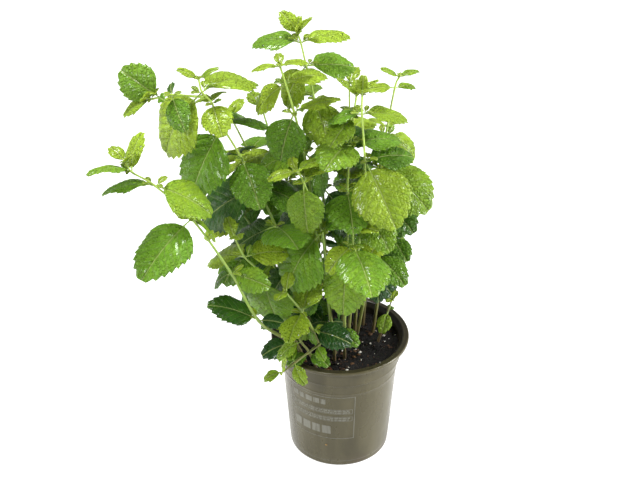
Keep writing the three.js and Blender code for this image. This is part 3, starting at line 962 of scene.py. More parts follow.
class Finish:
    """A material that is being built from nodes."""

    def __init__(self, name: str) -> None:
        """Starts a material with one Principled shader that goes straight to its surface.

        Args:
            name: The material's name.
        """
        self.material = bpy.data.materials.new(name)
        self.material.use_nodes = True
        self.tree = self.material.node_tree
        self.tree.nodes.clear()
        self.output = self.node("ShaderNodeOutputMaterial")
        self.shader = self.node("ShaderNodeBsdfPrincipled")
        self.link(self.shader.outputs["BSDF"], self.output.inputs["Surface"])

    def node(self, kind: str, settings: dict[str, object] | None = None, **inputs: object) -> Node:
        """Adds a node.

        Args:
            kind: Its Blender type.
            settings: Its own properties.
            inputs: What goes into each input, as set() takes it.

        Returns:
            The node.
        """
        made = self.tree.nodes.new(kind)
        for name, value in (settings or {}).items():
            setattr(made, name, value)
        self.set(made, **inputs)
        return made

    def set(self, node: Node, **inputs: object) -> None:
        """Fills inputs of a node.

        Args:
            node: The node.
            inputs: What goes into each input: a value, a hex colour or another node's output. A name such as
                "Base_Color" stands for the input "Base Color", and "in1" for the second input.
        """
        for name, value in inputs.items():
            indexed = name.startswith("in") and name[2:].isdigit()
            target = node.inputs[int(name[2:])] if indexed else node.inputs[name.replace("_", " ")]
            if isinstance(value, NodeSocket):
                self.link(value, target)
            elif isinstance(value, str):
                target.default_value = linear(value)
            else:
                target.default_value = value

    def link(self, source: NodeSocket, target: NodeSocket) -> None:
        """Joins an output to an input."""
        self.tree.links.new(source, target)

    def math(self, kind: str, first: object, second: object = 0.0, third: object = 0.0) -> NodeSocket:
        """The result of one Math node."""
        return self.node("ShaderNodeMath", {"operation": kind}, in0=first, in1=second, in2=third).outputs[0]

    def product(self, first: object, second: object) -> NodeSocket:
        """Two values multiplied."""
        return self.math("MULTIPLY", first, second)

    def shift(self, value: object, by: object, spread: float, start: float) -> NodeSocket:
        """A value moved by start, and by spread times another value."""
        return self.math("ADD", value, self.math("MULTIPLY_ADD", by, spread, start))

    def ramp(
        self, value: object, low: float, high: float, start: float = 0.0, end: float = 1.0
    ) -> NodeSocket:
        """A value eased from start to end as it goes from low to high, and held outside them.

        Args:
            value: What drives it.
            low: Where the result is start.
            high: Where the result is end.
            start: The result at low.
            end: The result at high.

        Returns:
            The eased value.
        """
        made = self.node("ShaderNodeMapRange", {"interpolation_type": "SMOOTHSTEP", "clamp": True})
        self.set(made, in0=value, in1=low, in2=high, in3=start, in4=end)
        return made.outputs[0]

    def blend(self, share: object, first: object, second: object) -> NodeSocket:
        """The colour that lies a share of the way from the first colour to the second."""
        settings = {"data_type": "RGBA", "clamp_factor": True}
        return self.node("ShaderNodeMix", settings, in0=share, in6=first, in7=second).outputs[2]

    def attribute(self, name: str) -> list[NodeSocket]:
        """The three numbers of a point attribute."""
        whole = self.node("ShaderNodeAttribute", {"attribute_name": name}).outputs["Vector"]
        return list(self.node("ShaderNodeSeparateXYZ", in0=whole).outputs)

    def place_mm(self, stretch: tuple[float, float, float] = (1.0, 1.0, 1.0)) -> NodeSocket:
        """The place on the object in mm, with each axis scaled by a stretch."""
        place = self.node("ShaderNodeTexCoord").outputs["Object"]
        return self.node("ShaderNodeMapping", in0=place, Scale=[s / MM for s in stretch]).outputs[0]

    def noise(self, where: NodeSocket, size: float, detail: float = 3.0) -> NodeSocket:
        """Cloudy noise from 0 to 1 whose blotches are about size mm across."""
        return self.node("ShaderNodeTexNoise", Vector=where, Scale=1 / size, Detail=detail).outputs[0]

    def bump(self, height: NodeSocket, depth: float, strength: float = 1.0) -> None:
        """Raises the surface by a height pattern from 0 to 1 that is depth mm deep."""
        made = self.node("ShaderNodeBump", Strength=strength, Distance=depth * MM, Height=height)
        self.link(made.outputs[0], self.shader.inputs["Normal"])


@dataclass(frozen=True)
class MintBlade:
    """Mint leaf: a thin waxy skin over quilted tissue.

    The eye sees small raised cells that each catch a spark of light, with painted shade darkening the creases
    between them, a paler midrib with side veins that curve to the teeth, deep green in old leaves and
    yellow-green in young ones, and a glow where light comes through from behind. A dry leaf keeps its cells
    and veins, in brown and without the gloss.
    """

    name: str
    young: str
    grown: str
    old: str
    vein: str
    glow_young: str
    glow_old: str
    glow_share: float
    roughness: float
    coat: float
    relief: float  # mm
    cell: float = 2.7  # mm across one raised cell; a real one is 1.5 to 2.5, drawn a little coarser to show
    cell_slope: float = 0.4  # how far from its edge a cell still rises, as a share of its width
    midrib: tuple[float, float] = (0.2, 0.8)  # mm from the middle where it is full and where it ends
    side_vein: tuple[float, float] = (0.43, 0.5)  # shares of the way to a vein where it begins and is full
    side_vein_show: float = 0.55
    vein_show: float = 0.6
    vein_sink: float = 0.8
    crease_shade: float = 0.25  # painted shade: how much darker the colour is in the creases between the cells
    cloud: float = 9.0  # mm across a blotch of riper tissue
    ripening: tuple[float, float] = (0.1, 0.55)  # ripeness from young to grown
    ageing: tuple[float, float] = (0.6, 1.05)  # and from grown to old

    def build(self) -> Material:
        """Makes the material.

        Returns:
            The material.
        """
        made = Finish(self.name)
        along, across, phase = made.attribute("place")
        age, luck, _ = made.attribute("tone")
        apart = made.product(luck, 90.0)
        spot = made.node("ShaderNodeCombineXYZ", in0=along, in1=across, in2=apart).outputs[0]
        net = {"feature": "DISTANCE_TO_EDGE"}
        cells = made.node("ShaderNodeTexVoronoi", net, Vector=spot, Scale=1 / self.cell, Randomness=0.85)
        pillow = made.ramp(cells.outputs["Distance"], 0.0, self.cell_slope)
        wrap = made.math("ABSOLUTE", made.math("SUBTRACT", made.math("FRACT", phase), 0.5))
        side_vein = made.ramp(wrap, *self.side_vein)
        midrib = made.ramp(made.math("ABSOLUTE", across), *self.midrib, 1.0, 0.0)
        veins = made.math("MAXIMUM", midrib, made.product(side_vein, self.side_vein_show))
        cloud = made.noise(spot, self.cloud)
        ripeness = made.shift(made.shift(age, luck, 0.64, -0.28), cloud, 0.3, -0.15)
        tissue = made.blend(made.ramp(ripeness, *self.ripening), self.young, self.grown)
        tissue = made.blend(made.ramp(ripeness, *self.ageing), tissue, self.old)
        # painted shade: the creases between the raised cells are darkened towards riper, deeper tissue
        crease_shade_colour = made.blend(made.ramp(ripeness, 0.0, 0.8), self.grown, self.old)
        tissue = made.blend(made.product(made.math("SUBTRACT", 1.0, pillow), self.crease_shade), tissue, crease_shade_colour)
        base = made.blend(made.product(veins, self.vein_show), tissue, self.vein)
        roughness = made.ramp(cloud, 0.3, 0.7, self.roughness - 0.05, self.roughness + 0.08)
        made.set(made.shader, Base_Color=base, Roughness=roughness, IOR=1.42, Specular_IOR_Level=0.35)
        made.set(made.shader, Coat_Weight=self.coat, Coat_Roughness=0.16, Coat_IOR=1.45)
        made.bump(made.math("SUBTRACT", pillow, made.product(veins, self.vein_sink)), self.relief)
        glow = made.blend(made.ramp(ripeness, 0.1, 0.9), self.glow_young, self.glow_old)
        through = made.node("ShaderNodeBsdfTranslucent", Color=glow).outputs[0]
        opaque = made.shader.outputs[0]
        both = made.node("ShaderNodeMixShader", in0=self.glow_share, in1=opaque, in2=through)
        made.link(both.outputs[0], made.output.inputs["Surface"])
        return made.material


@dataclass(frozen=True)
class MintStem:
    """Square mint stem: smooth, slightly waxy skin over sappy pith.

    Young tips are a fresh yellow-green, and older lengths turn olive and then brownish purple, with fine
    raised lines along them.
    """

    name: str = "Mint stem, fresh and waxy"
    young: str = "#a9c454"
    grown: str = "#7f9a3c"
    old: str = "#5d4a34"
    line: float = 0.5  # mm between the lines, drawn twice as coarse as real so that they show
    stretch: float = 0.12  # how much slower a line changes along the stem than round it

    def build(self) -> Material:
        """Makes the material.

        Returns:
            The material.
        """
        made = Finish(self.name)
        along, round_it, _ = made.attribute("place")
        age, luck, _ = made.attribute("tone")
        slow = made.product(along, self.stretch)
        spot = made.node("ShaderNodeCombineXYZ", in0=slow, in1=round_it, in2=luck).outputs[0]
        lines = made.noise(spot, self.line, 2.0)
        ripeness = made.shift(age, lines, 0.3, -0.15)
        skin = made.blend(made.ramp(ripeness, 0.1, 0.5), self.young, self.grown)
        skin = made.blend(made.ramp(ripeness, 0.6, 0.95), skin, self.old)
        made.set(made.shader, Base_Color=skin, Roughness=0.42, IOR=1.45, Sheen_Weight=0.12)
        made.set(made.shader, Sheen_Roughness=0.4, Subsurface_Weight=0.08, Subsurface_Scale=0.001)
        made.bump(lines, 0.12)
        return made.material


@dataclass(frozen=True)
class MouldedPot:
    """Thin thermoformed polypropylene, olive taupe.

    The wall has a satin gloss with soft upright waves, as the sheet stretched in the mould. Water has dried
    on it in dull patches, and a little soil dust clings low down. The inside near the lip, and partly the
    lip's top, is painted dark as shade.
    """

    name: str = "Polypropylene, thermoformed taupe"
    base: str = "#454029"
    light: str = "#4f4a33"
    dark: str = "#393421"
    dust: str = "#4c4030"
    inner_shade: str = "#1d1a14"
    wave: float = 13.0  # mm between the upright waves
    patch: float = 16.0  # mm across a dried patch
    dust_top: float = 16.0  # mm above the foot
    inner_shade_heights: tuple[float, float] = (60.0, 90.0)  # painted shade inside the pot: heights in mm where it begins and is full
    inward: tuple[float, float] = (0.45, -0.25)  # how far outward a face looks, likewise

    def build(self) -> Material:
        """Makes the material.

        Returns:
            The material.
        """
        made = Finish(self.name)
        waves = made.noise(made.place_mm((1.0, 1.0, 0.05)), self.wave, 2.0)
        patches = made.noise(made.place_mm((1.0, 1.0, 0.5)), self.patch)
        body = made.blend(made.ramp(waves, 0.35, 0.7), self.base, self.light)
        body = made.blend(made.product(made.ramp(patches, 0.5, 0.75), 0.6), body, self.dark)
        height = made.node("ShaderNodeSeparateXYZ", in0=made.place_mm()).outputs[2]
        low = made.product(made.ramp(height, self.dust_top, 0.0), made.ramp(patches, 0.4, 0.7))
        body = made.blend(made.product(low, 0.5), body, self.dust)
        # painted shade: faces that look inwards, high on the pot, darken towards the painted inner shade
        # colour
        inside = made.product(made.ramp(self.outwardness(made), *self.inward), made.ramp(height, *self.inner_shade_heights))
        body = made.blend(made.product(inside, 0.85), body, self.inner_shade)
        roughness = made.ramp(patches, 0.3, 0.7, 0.24, 0.36)
        made.set(made.shader, Base_Color=body, Roughness=roughness, IOR=1.49, Specular_IOR_Level=0.38)
        made.bump(waves, 0.25, 0.7)
        return made.material

    @staticmethod
    def outwardness(made: Finish) -> NodeSocket:
        """How far a face looks away from the pot's axis: 1 outwards and -1 inwards.

        Args:
            made: The material that is being built.

        Returns:
            That number.
        """

        def vector(kind: str, first: object, second: object = (0.0, 0.0, 0.0)) -> Node:
            """One Vector Math node."""
            return made.node("ShaderNodeVectorMath", {"operation": kind}, in0=first, in1=second)

        level = vector("MULTIPLY", made.place_mm(), (1.0, 1.0, 0.0)).outputs[0]
        normal = made.node("ShaderNodeNewGeometry").outputs["Normal"]
        return vector("DOT_PRODUCT", normal, vector("NORMALIZE", level).outputs[0]).outputs["Value"]


@dataclass(frozen=True)
class Grainy:
    """A dry, crumbly or porous stuff whose colour and surface vary from grain to grain."""

    name: str
    dark: str
    light: str
    grain: float  # mm across one grain
    relief: float  # mm
    roughness: float

    def build(self) -> Material:
        """Makes the material.

        Returns:
            The material.
        """
        made = Finish(self.name)
        spot = made.place_mm()
        coarse = made.noise(spot, self.grain, 5.0)
        cells = made.node("ShaderNodeTexVoronoi", {"feature": "F1"}, Vector=spot, Scale=1 / self.grain)
        luck = made.attribute("tone")[1]
        mixture = made.shift(made.product(coarse, 0.8), luck, 0.6, -0.2)
        colour = made.blend(made.ramp(mixture, 0.3, 0.8), self.dark, self.light)
        roughness = made.ramp(coarse, 0.3, 0.7, self.roughness - 0.1, self.roughness)
        made.set(made.shader, Base_Color=colour, Roughness=roughness, IOR=1.45)
        made.bump(made.math("ADD", cells.outputs["Distance"], coarse), self.relief)
        return made.material


@dataclass(frozen=True)
class WaterDrop:
    """Clear water, held round by surface tension: a bright spark with a dark rim."""

    name: str = "Water, standing in drops"

    def build(self) -> Material:
        """Makes the material.

        Returns:
            The material.
        """
        made = Finish(self.name)
        ripple = made.noise(made.place_mm(), 1.5, 1.0)
        made.set(made.shader, Base_Color="#f6fbff", Roughness=made.ramp(ripple, 0.2, 0.8, 0.0, 0.05))
        made.set(made.shader, IOR=1.333, Transmission_Weight=1.0)
        return made.material


@dataclass(frozen=True)
class PrintInk:
    """Pale grey screen-print ink: a thin matt film, worn a little thin along the streaks of the plastic."""

    name: str = "Screen-print ink, pale grey"
    full: str = "#6d6c61"
    worn: str = "#5a584a"

    def build(self) -> Material:
        """Makes the material.

        Returns:
            The material.
        """
        made = Finish(self.name)
        streaks = made.noise(made.place_mm((1.0, 1.0, 0.1)), 1.8)
        colour = made.blend(made.ramp(streaks, 0.4, 0.7), self.full, self.worn)
        made.set(made.shader, Base_Color=colour, Roughness=0.55, IOR=1.5)
        made.bump(streaks, 0.03, 0.5)
        return made.material


@dataclass(frozen=True)
class OpalAcrylic:
    """Opal acrylic of a light table, cast with a matt face: an even white glow with nearly no shadow."""

    name: str = "Opal acrylic, cast and matt"
    face: str = "#a8a8a6"
    tooth: str = "#a2a2a0"
    glow: float = 0.85

    def build(self) -> Material:
        """Makes the material.

        Returns:
            The material.
        """
        made = Finish(self.name)
        tooth = made.noise(made.place_mm(), 1.2, 2.0)
        colour = made.blend(made.product(tooth, 0.3), self.face, self.tooth)
        made.set(made.shader, Base_Color=colour, Roughness=0.8, IOR=1.49)
        made.set(made.shader, Emission_Color="#ffffff", Emission_Strength=self.glow)
        made.bump(tooth, 0.03, 0.3)
        return made.material


class Stuff(Enum):
    """The finishes of the plant, its pot and what it stands on."""

    BLADE = MintBlade(
        "Mint leaf, living and waxy",
        young="#a2ba32",
        grown="#72a026",
        old="#1c4612",
        vein="#cddd86",
        glow_young="#c2d620",
        glow_old="#72a40c",
        glow_share=0.34,
        roughness=0.45,
        coat=0.3,
        relief=1.6,
    )
    UNDERSIDE = MintBlade(
        "Mint leaf underside, downy and pale",
        young="#acbd40",
        grown="#84a33c",
        old="#4c7032",
        vein="#bccf86",
        glow_young="#c4dc1c",
        glow_old="#6aa80a",
        glow_share=0.34,
        roughness=0.6,
        coat=0.0,
        relief=0.9,
    )
    WITHERED = MintBlade(
        "Mint leaf, withered and dry",
        young="#9a8450",
        grown="#7f5230",
        old="#5a3820",
        vein="#c79e66",
        glow_young="#d8a850",
        glow_old="#a8602a",
        glow_share=0.2,
        roughness=0.7,
        coat=0.0,
        relief=1.5,
    )
    STEM = MintStem()
    POT = MouldedPot()
    SOIL = Grainy("Peat soil, damp and crumbly", "#070605", "#140f0b", 1.4, 0.8, 0.9)
    CRUMB = Grainy("Peat crumbs, fibrous", "#1a120c", "#46301f", 0.7, 0.3, 0.9)
    PERLITE = Grainy("Perlite, expanded and porous", "#cfcabb", "#f2efe6", 0.5, 0.2, 0.8)
    LITTER = Grainy("Dry leaf scraps, brown and brittle", "#2c1d12", "#5e4228", 0.9, 0.2, 0.75)
    WATER = WaterDrop()
    INK = PrintInk()
    TABLE = OpalAcrylic()


@cache
def finish(stuff: Stuff) -> Material:
    """The material of a finish, made the first time that it is asked for."""
    return stuff.value.build()


# ---------------------------------------------------------- the plant's pieces


def settle(thing: Object, slot: str, *nodes: str) -> None:
    """Puts a finished piece on the frame and reports it.

    Args:
        thing: The piece.
        slot: Not used; it names the record's material slot that the piece belongs to.
        nodes: The solids that it stands for, if any.
    """
    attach(thing, "root")
    if nodes:
        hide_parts(*nodes)
    LOG.info("%s: %d faces", thing.name, len(thing.data.polygons))


@dataclass(frozen=True)
class LeafMaker:
    """Makes leaves in fine detail: a quilted, saw-toothed blade over a stalk that runs on as its midrib."""

    tooth_length: float = 4.4
    fewest_teeth: int = 3
    most_teeth: int = 10
    tooth_depth: float = 0.034  # share of the blade's length
    tooth_top: float = 0.78  # share of a tooth's length at which it is highest
    tooth_lean: float = 0.3  # share of a tooth's length by which its point leans ahead
    plain_under: float = 12.0  # a blade shorter than this has simpler teeth
    column_width: float = 1.3
    fewest_columns: int = 3
    most_columns: int = 14
    crowding: float = 0.88  # under 1, columns stand closer near the edge
    thickness: float = 0.4
    edge_thinning: float = 0.7
    quilt: float = 0.022  # share of the blade's length
    pucker_width: float = 4.2
    groove: float = 0.3  # how deep the midrib lies
    groove_width: float = 0.9
    vein_pairs: float = 7.0
    vein_slant: float = 0.85
    stalk_radii: tuple[float, ...] = (0.9, 0.82, 0.86, 1.0)  # along the stalk, as shares of its thickness
    rib_radii: tuple[float, ...] = (0.95, 0.8, 0.66, 0.52, 0.38, 0.2)
    rib_gap: float = 0.65  # from the bottom of the groove to the midrib's middle
    rib_sides: int = 6

    def add_leaf(self, draft: Draft, leaf: Leaf, age: float, luck: float) -> None:
        """Adds a blade with its stalk and midrib.

        Args:
            draft: What it is added to.
            leaf: Where it stands and how it is bent.
            age: 0 for a bud to 1 for the oldest leaf.
            luck: A number from 0 to 1 that its own shade follows.
        """
        self.add_blade(draft, leaf, age, luck)
        steps = len(self.stalk_radii)
        stalk = leaf.foot + np.linspace(0, leaf.petiole * 0.96, steps)[:, None] * leaf.heading
        along = np.linspace(0.06, 0.86, len(self.rib_radii)) * leaf.length
        sunk = 0.4 * self.quilt * leaf.length + self.groove + self.rib_gap
        rib = leaf.point(along, np.zeros(len(along)), -sunk)
        radii = mix(0.35, 0.72, min(1.0, leaf.length / 40)) * np.array(self.stalk_radii + self.rib_radii)
        points, quads = tube(np.concatenate([stalk, rib]), radii, self.rib_sides)
        place = np.zeros_like(points)
        place[:-2, 0] = np.repeat(np.arange(len(radii)) * 3.0, self.rib_sides)
        draft.add(points, quads, 2, place, (0.25 + 0.45 * age, luck, 0.0))

    def add_blade(self, draft: Draft, leaf: Leaf, age: float, luck: float) -> None:
        """Adds a thin blade, closed all round, with its upper face in slot 0 and its underside in slot 1.

        Args:
            draft: What it is added to.
            leaf: Where it stands and how it is bent.
            age: 0 for a bud to 1 for the oldest leaf.
            luck: A number from 0 to 1 that its own shade follows.
        """
        teeth = int(np.clip(round(leaf.length / self.tooth_length), self.fewest_teeth, self.most_teeth))
        share, saw = self.rows(leaf, teeth)
        half = self.half_widths(leaf, share, saw)
        columns = int(np.clip(round(half.max() / self.column_width), self.fewest_columns, self.most_columns))
        spread = np.linspace(-1, 1, 2 * columns + 1)
        spread = np.sign(spread) * np.abs(spread) ** self.crowding
        out = np.abs(spread)
        across = half[:, None] * spread
        along = leaf.length * share[:, None] + (self.tooth_lean * leaf.length / teeth) * saw[:, None] * out**6
        along = np.minimum(along, leaf.length)
        phase = self.vein_pairs * (along - self.vein_slant * np.abs(across)) / leaf.length + 7
        lift = self.lift(leaf, across, phase, out) * np.minimum(1, half / (0.25 * leaf.width))[:, None]
        lift = lift - self.groove * np.exp(-((across / self.groove_width) ** 2))
        depth = 0.5 * self.thickness * (1 - self.edge_thinning * out**6) * np.ones_like(across)
        upper, lower = leaf.point(along, across, lift + depth), leaf.point(along, across, lift - depth)
        values = np.stack([along, across, phase], axis=-1)
        points, place = (
            np.concatenate([top, bottom[:, ::-1]], axis=1).reshape(-1, 3)
            for top, bottom in ((upper, lower), (values, values))
        )
        wide = 2 * len(spread)
        quads = grid_quads(len(share), wide, closed=True)[:, ::-1]
        column = np.tile(np.arange(wide), len(share) - 1)
        below = (column >= len(spread)) & (column < wide - 1)
        draft.add(points, quads[~below], 0, place, (age, luck, 0.0))
        draft.share_last(quads[below], 1)
        near = np.arange(len(spread) - 1)
        first = np.stack([near, near + 1, wide - 2 - near, wide - 1 - near], axis=1)
        last = first + wide * (len(share) - 1)
        draft.share_last(np.concatenate([first, last[:, ::-1]]), 0)

    def rows(self, leaf: Leaf, teeth: int) -> tuple[np.ndarray, np.ndarray]:
        """The rows of points across a blade.

        Args:
            leaf: The leaf.
            teeth: How many teeth each edge has.

        Returns:
            Each row's share of the blade's length, and how high it stands on its tooth, from 0 to 1.
        """
        top = self.tooth_top
        steps = np.array([0.0, 0.3, 0.58, top, 0.9] if leaf.length > self.plain_under else [0.0, 0.5, top])
        share = np.append((np.arange(teeth)[:, None] + steps).ravel() / teeth, 1.0)
        saw = np.where(steps <= top, steps / top, (1 - steps) / (1 - top))
        return share, np.append(np.tile(saw, teeth), 0.0)

    def half_widths(self, leaf: Leaf, share: np.ndarray, saw: np.ndarray) -> np.ndarray:
        """Half of a blade's width at each row, teeth and all.

        Args:
            leaf: The leaf.
            share: Each row's share of the blade's length.
            saw: How high each row stands on its tooth.

        Returns:
            The half widths in mm.
        """
        fade = np.clip(share / 0.14, 0, 1)
        least = np.interp(share, [0, 0.1, 1], [0.5 * LEAF.petiole_width, 0.6, 0.12])
        half = leaf.width * outline(share) + self.tooth_depth * leaf.length * fade * (saw - 0.55)
        return np.maximum(half, least * min(1, leaf.length / self.plain_under))

    def lift(self, leaf: Leaf, across: np.ndarray, phase: np.ndarray, out: np.ndarray) -> np.ndarray:
        """How far the quilting between the side veins lifts a blade.

        Args:
            leaf: The leaf.
            across: How far each point is across the midrib, in mm.
            phase: How many side veins it has passed.
            out: Its column's share of the way to the edge.

        Returns:
            The lift in mm.
        """
        ridge = np.abs(np.sin(np.pi * phase)) ** 0.8 * np.clip(out / 0.2, 0, 1) * (1 - out**4)
        pucker = np.abs(np.sin(np.pi * (np.abs(across) / self.pucker_width + 0.35 * np.floor(phase))))
        return self.quilt * leaf.length * (ridge * (0.5 + 0.5 * pucker) - 0.4)


@dataclass
class Foliage:
    """One leafy stem: its square stem, its leaves, and the small leaves in its axils and round its buds."""

    stem: Stem
    maker: LeafMaker = LeafMaker()
    sides: int = 12
    side_width: float = 0.9  # mm between two points round the stem, for its pattern
    slimness: float = 0.92
    knot_swell: float = 0.2
    knot_length: float = 2.6
    young_width: float = 0.6  # width of a small leaf as a share of its length
    axil_leaf: float = 7.5
    axil_stalk: float = 1.4
    axil_from: float = 24.0  # leaves longer than this have a small pair in their axil
    bud_leaf: float = 4.6
    bud_stalk: float = 0.3
    bud_pairs: tuple[tuple[float, float], ...] = ((1.0, 52.0), (0.75, 68.0))  # each pair's size and rise

    def build(self) -> None:
        """Makes the stem's piece, which replaces its solid."""
        draft = Draft()
        luck = ParkMiller(101 + self.stem.owner)
        for run in self.stem.runs:
            self.add_stem(draft, run, luck.draw())
            self.add_bud(draft, run, luck)
        for shoot in self.stem.shoots:
            self.maker.add_leaf(draft, shoot.leaf, shoot.age, luck.draw())
            if shoot.leaf.length >= self.axil_from and not shoot.at_tip:
                self.add_axil(draft, shoot, luck)
        name = self.stem.name.replace("stem", "mint")
        thing = draft.build(name, Stuff.BLADE, Stuff.UNDERSIDE, Stuff.STEM)
        settle(thing, "mint", self.stem.name)

    def add_stem(self, draft: Draft, run: Run, luck: float) -> None:
        """Adds the square stem of a run, a little swollen at its nodes.

        Args:
            draft: What it is added to.
            run: The run.
            luck: A number from 0 to 1 that its own shade follows.
        """
        line = run.line
        along = np.concatenate([[0], np.cumsum(np.linalg.norm(np.diff(line, axis=0), axis=1))])
        knots = along[:: STEM.samples_per_span]
        swell = np.exp(-(((along[:, None] - knots[None, 1:]) / self.knot_length) ** 2)).max(axis=1)
        taper = run.base_radius + (STEM.tip_radius - run.base_radius) * (along / along[-1])
        corner = math.radians(next(node for node in run.nodes if len(node) > 3)[3] + 45)

        def rounded_square(turns: np.ndarray) -> np.ndarray:
            """The section's radius at each turn, with its corners at the quarter turns."""
            skew = turns + math.pi / 4
            return 0.84 / (np.abs(np.cos(skew)) ** 4 + np.abs(np.sin(skew)) ** 4) ** 0.25

        radii = taper * (self.slimness + self.knot_swell * swell)
        first_across = (math.cos(corner), math.sin(corner), 0.0)
        points, quads = tube(line, radii, self.sides, rounded_square, first_across)
        side = np.arange(self.sides)
        place, tone = np.zeros_like(points), np.full_like(points, luck)
        place[:-2, 0] = np.repeat(along, self.sides)
        place[:-2, 1] = np.tile(np.minimum(side, self.sides - side) * self.side_width, len(line))
        tone[:-2, 0] = np.repeat(np.clip(1 - points[: -2 : self.sides, 2] / 300 + 0.25, 0, 1), self.sides)
        draft.add(points, quads, 2, place, tone)

    def add_bud(self, draft: Draft, run: Run, luck: ParkMiller) -> None:
        """Adds the tight small leaves at the end of a run.

        Args:
            draft: What they are added to.
            run: The run.
            luck: Where their sizes, turns and shades are drawn from.
        """
        axis = run.direction_at(len(run.nodes) - 1)
        for pair, (size, tilt) in enumerate(self.bud_pairs):
            for half in (0, 180):
                length = self.bud_leaf * size * luck.between(0.85, 1.2)
                azimuth = run.nodes[-1][3] + 45 + 90 * pair + half + luck.between(-12, 12)
                shape = (length, self.young_width, luck.draw(), 0.0)
                leaf = Leaf(run.line[-1], axis, azimuth, tilt, 0.0, *shape)
                leaf.petiole = self.bud_stalk
                self.maker.add_blade(draft, leaf, 0.0, luck.draw())

    def add_axil(self, draft: Draft, shoot: Shoot, luck: ParkMiller) -> None:
        """Adds the small young leaves between a leaf's stalk and the stem.

        Args:
            draft: What they are added to.
            shoot: The big leaf.
            luck: Where their sizes, turns and shades are drawn from.
        """
        heading = shoot.leaf.heading
        azimuth = math.degrees(math.atan2(heading[1], heading[0]))
        axis = unit(np.array([0.0, 0.0, 1.0]) + 0.2 * heading)
        foot = shoot.leaf.foot + 1.8 * heading + 1.2 * axis
        for side in (-1, 1):
            length = self.axil_leaf * luck.between(0.7, 1.3)
            tilt = luck.between(25, 55)
            turn = azimuth + side * luck.between(35, 75)
            leaf = Leaf(foot, axis, turn, tilt, 0.0, length, self.young_width, luck.draw(), 0.4)
            leaf.petiole = self.axil_stalk
            self.maker.add_leaf(draft, leaf, 0.25 * shoot.age, luck.draw())


@dataclass
class Pot:
    """The moulded pot, with its rolled lip, its upright band, its foot and its drain holes."""

    size: PotSize = POT
    segments: int = 192
    recess: float = 0.8  # how high the underside stands inside the foot ring
    foot_ring: float = 39.8  # inner radius of the ring that it stands on
    foot_round: float = 2.0
    foot_step: float = 5.5
    step_depth: float = 0.45
    bead_height: float = 84.0
    bead_swell: float = 0.28
    bead_half: float = 0.9  # half of the bead's height
    lip_round: float = 1.2

    def profile(self) -> list[tuple[float, float]]:
        """The pot's outline.

        Returns:
            Its points as (radius, height), from the middle of its underside round to the middle of its floor.
        """
        return [*self.foot_profile(), *self.body_profile(), *self.lip_profile(), *self.inner_profile()]

    def foot_profile(self) -> list[tuple[float, float]]:
        """The underside, the ring that the pot stands on and the step over it.

        Returns:
            The points.
        """
        s, step, turn = self.size, self.foot_step, self.foot_round
        wall = s.wall_radius(step)
        points = [(0.0, self.recess), (self.foot_ring - 0.8, self.recess), (self.foot_ring, 0.0)]
        points += arc((s.base_radius - turn, turn), turn, -90, -6, 6)
        points += [(wall - self.step_depth, step - 0.5), (wall - self.step_depth + 0.1, step - 0.15)]
        return points + [(wall - 0.1, step + 0.15)]

    def body_profile(self) -> list[tuple[float, float]]:
        """The tapered wall with its bead, up to the foot of the band.

        Returns:
            The points.
        """
        s, bead = self.size, self.bead_height
        points = [(s.wall_radius(h), h) for h in np.linspace(self.foot_step + 0.8, bead - 1.2, 24)]
        for turn in range(-75, 90, 25):
            reach = s.wall_radius(bead) + self.bead_swell * math.cos(math.radians(turn))
            points.append((reach, bead + self.bead_half * turn / 90))
        points += [(s.wall_radius(h), h) for h in np.linspace(bead + 1.4, s.band_foot - 1.8, 5)]
        return points + [(s.body_top_radius + 0.15, s.band_foot - 1.0)]

    def lip_profile(self) -> list[tuple[float, float]]:
        """The upright band and the rolled lip over it.

        Returns:
            The points.
        """
        s, turn = self.size, self.lip_round
        points = arc((s.band_radius - 0.55, s.band_foot + 0.1), 0.75, -60, 20, 4)
        points += [(s.band_radius, s.band_foot + 1.4)]
        points += [(s.band_radius, h) for h in np.linspace(s.band_foot + 3, s.lip_foot - 2.2, 5)]
        points += arc((s.band_radius + 1.4, s.lip_foot - 1.2), 1.4, 180, 90, 4)
        points += arc((s.rim_radius - 1.0, s.lip_foot + 1.2), 1.0, -80, 0, 5)
        points += arc((s.rim_radius - turn, s.height - turn), turn, 0, 90, 6)
        points += [(s.rim_radius - 2.4, s.height - 0.15)]
        return points + arc((s.lip_inner_radius, s.height - 1.5), 1.5, 80, 178, 6)

    def inner_profile(self) -> list[tuple[float, float]]:
        """The inside, from under the lip to the middle of the floor.

        Returns:
            The points.
        """
        s = self.size
        inside, low = s.band_radius - s.wall, s.wall_radius(s.floor) - s.wall
        points = [(inside + 0.6, s.lip_foot + 0.3), (inside, s.lip_foot - 1.2), (inside, s.band_foot + 0.6)]
        points += [(s.body_top_radius - s.wall, s.band_foot - 0.6), (low, s.floor + 0.6), (low - 1, s.floor)]
        return points + [(0.0, s.floor)]

    def drills(self) -> Draft:
        """The rods that are cut out of the floor, one for each drain hole.

        Returns:
            Their mesh.
        """
        draft = Draft()
        radius = self.size.drain_hole_radius
        for hole in range(self.size.drain_holes):
            turn = 2 * math.pi * hole / self.size.drain_holes
            x, y = (self.size.drain_ring_radius * part(turn) for part in (math.cos, math.sin))
            points, quads = turned([(0, -3), (radius, -3), (radius, 6), (0, 6)], 32)
            draft.add(points + np.array([x, y, 0.0]), quads)
        return draft

    def build(self) -> None:
        """Makes the pot's piece, which replaces its solid."""
        draft = Draft()
        draft.add(*turned(self.profile(), self.segments))
        pot = draft.build("nursery_pot", Stuff.POT)
        drills = self.drills().build("drill", Stuff.POT)
        cut = pot.modifiers.new("drain holes", "BOOLEAN")
        cut.operation, cut.object, cut.solver = "DIFFERENCE", drills, "EXACT"
        view = bpy.context.evaluated_depsgraph_get()
        bored = bpy.data.meshes.new_from_object(pot.evaluated_get(view))
        pot.modifiers.clear()
        pot.data = bored
        bpy.data.objects.remove(drills)
        for polygon in bored.polygons:
            polygon.use_smooth = polygon.normal.z > -0.99 or polygon.center.z > 5 * MM
        settle(pot, "pot", "pot")


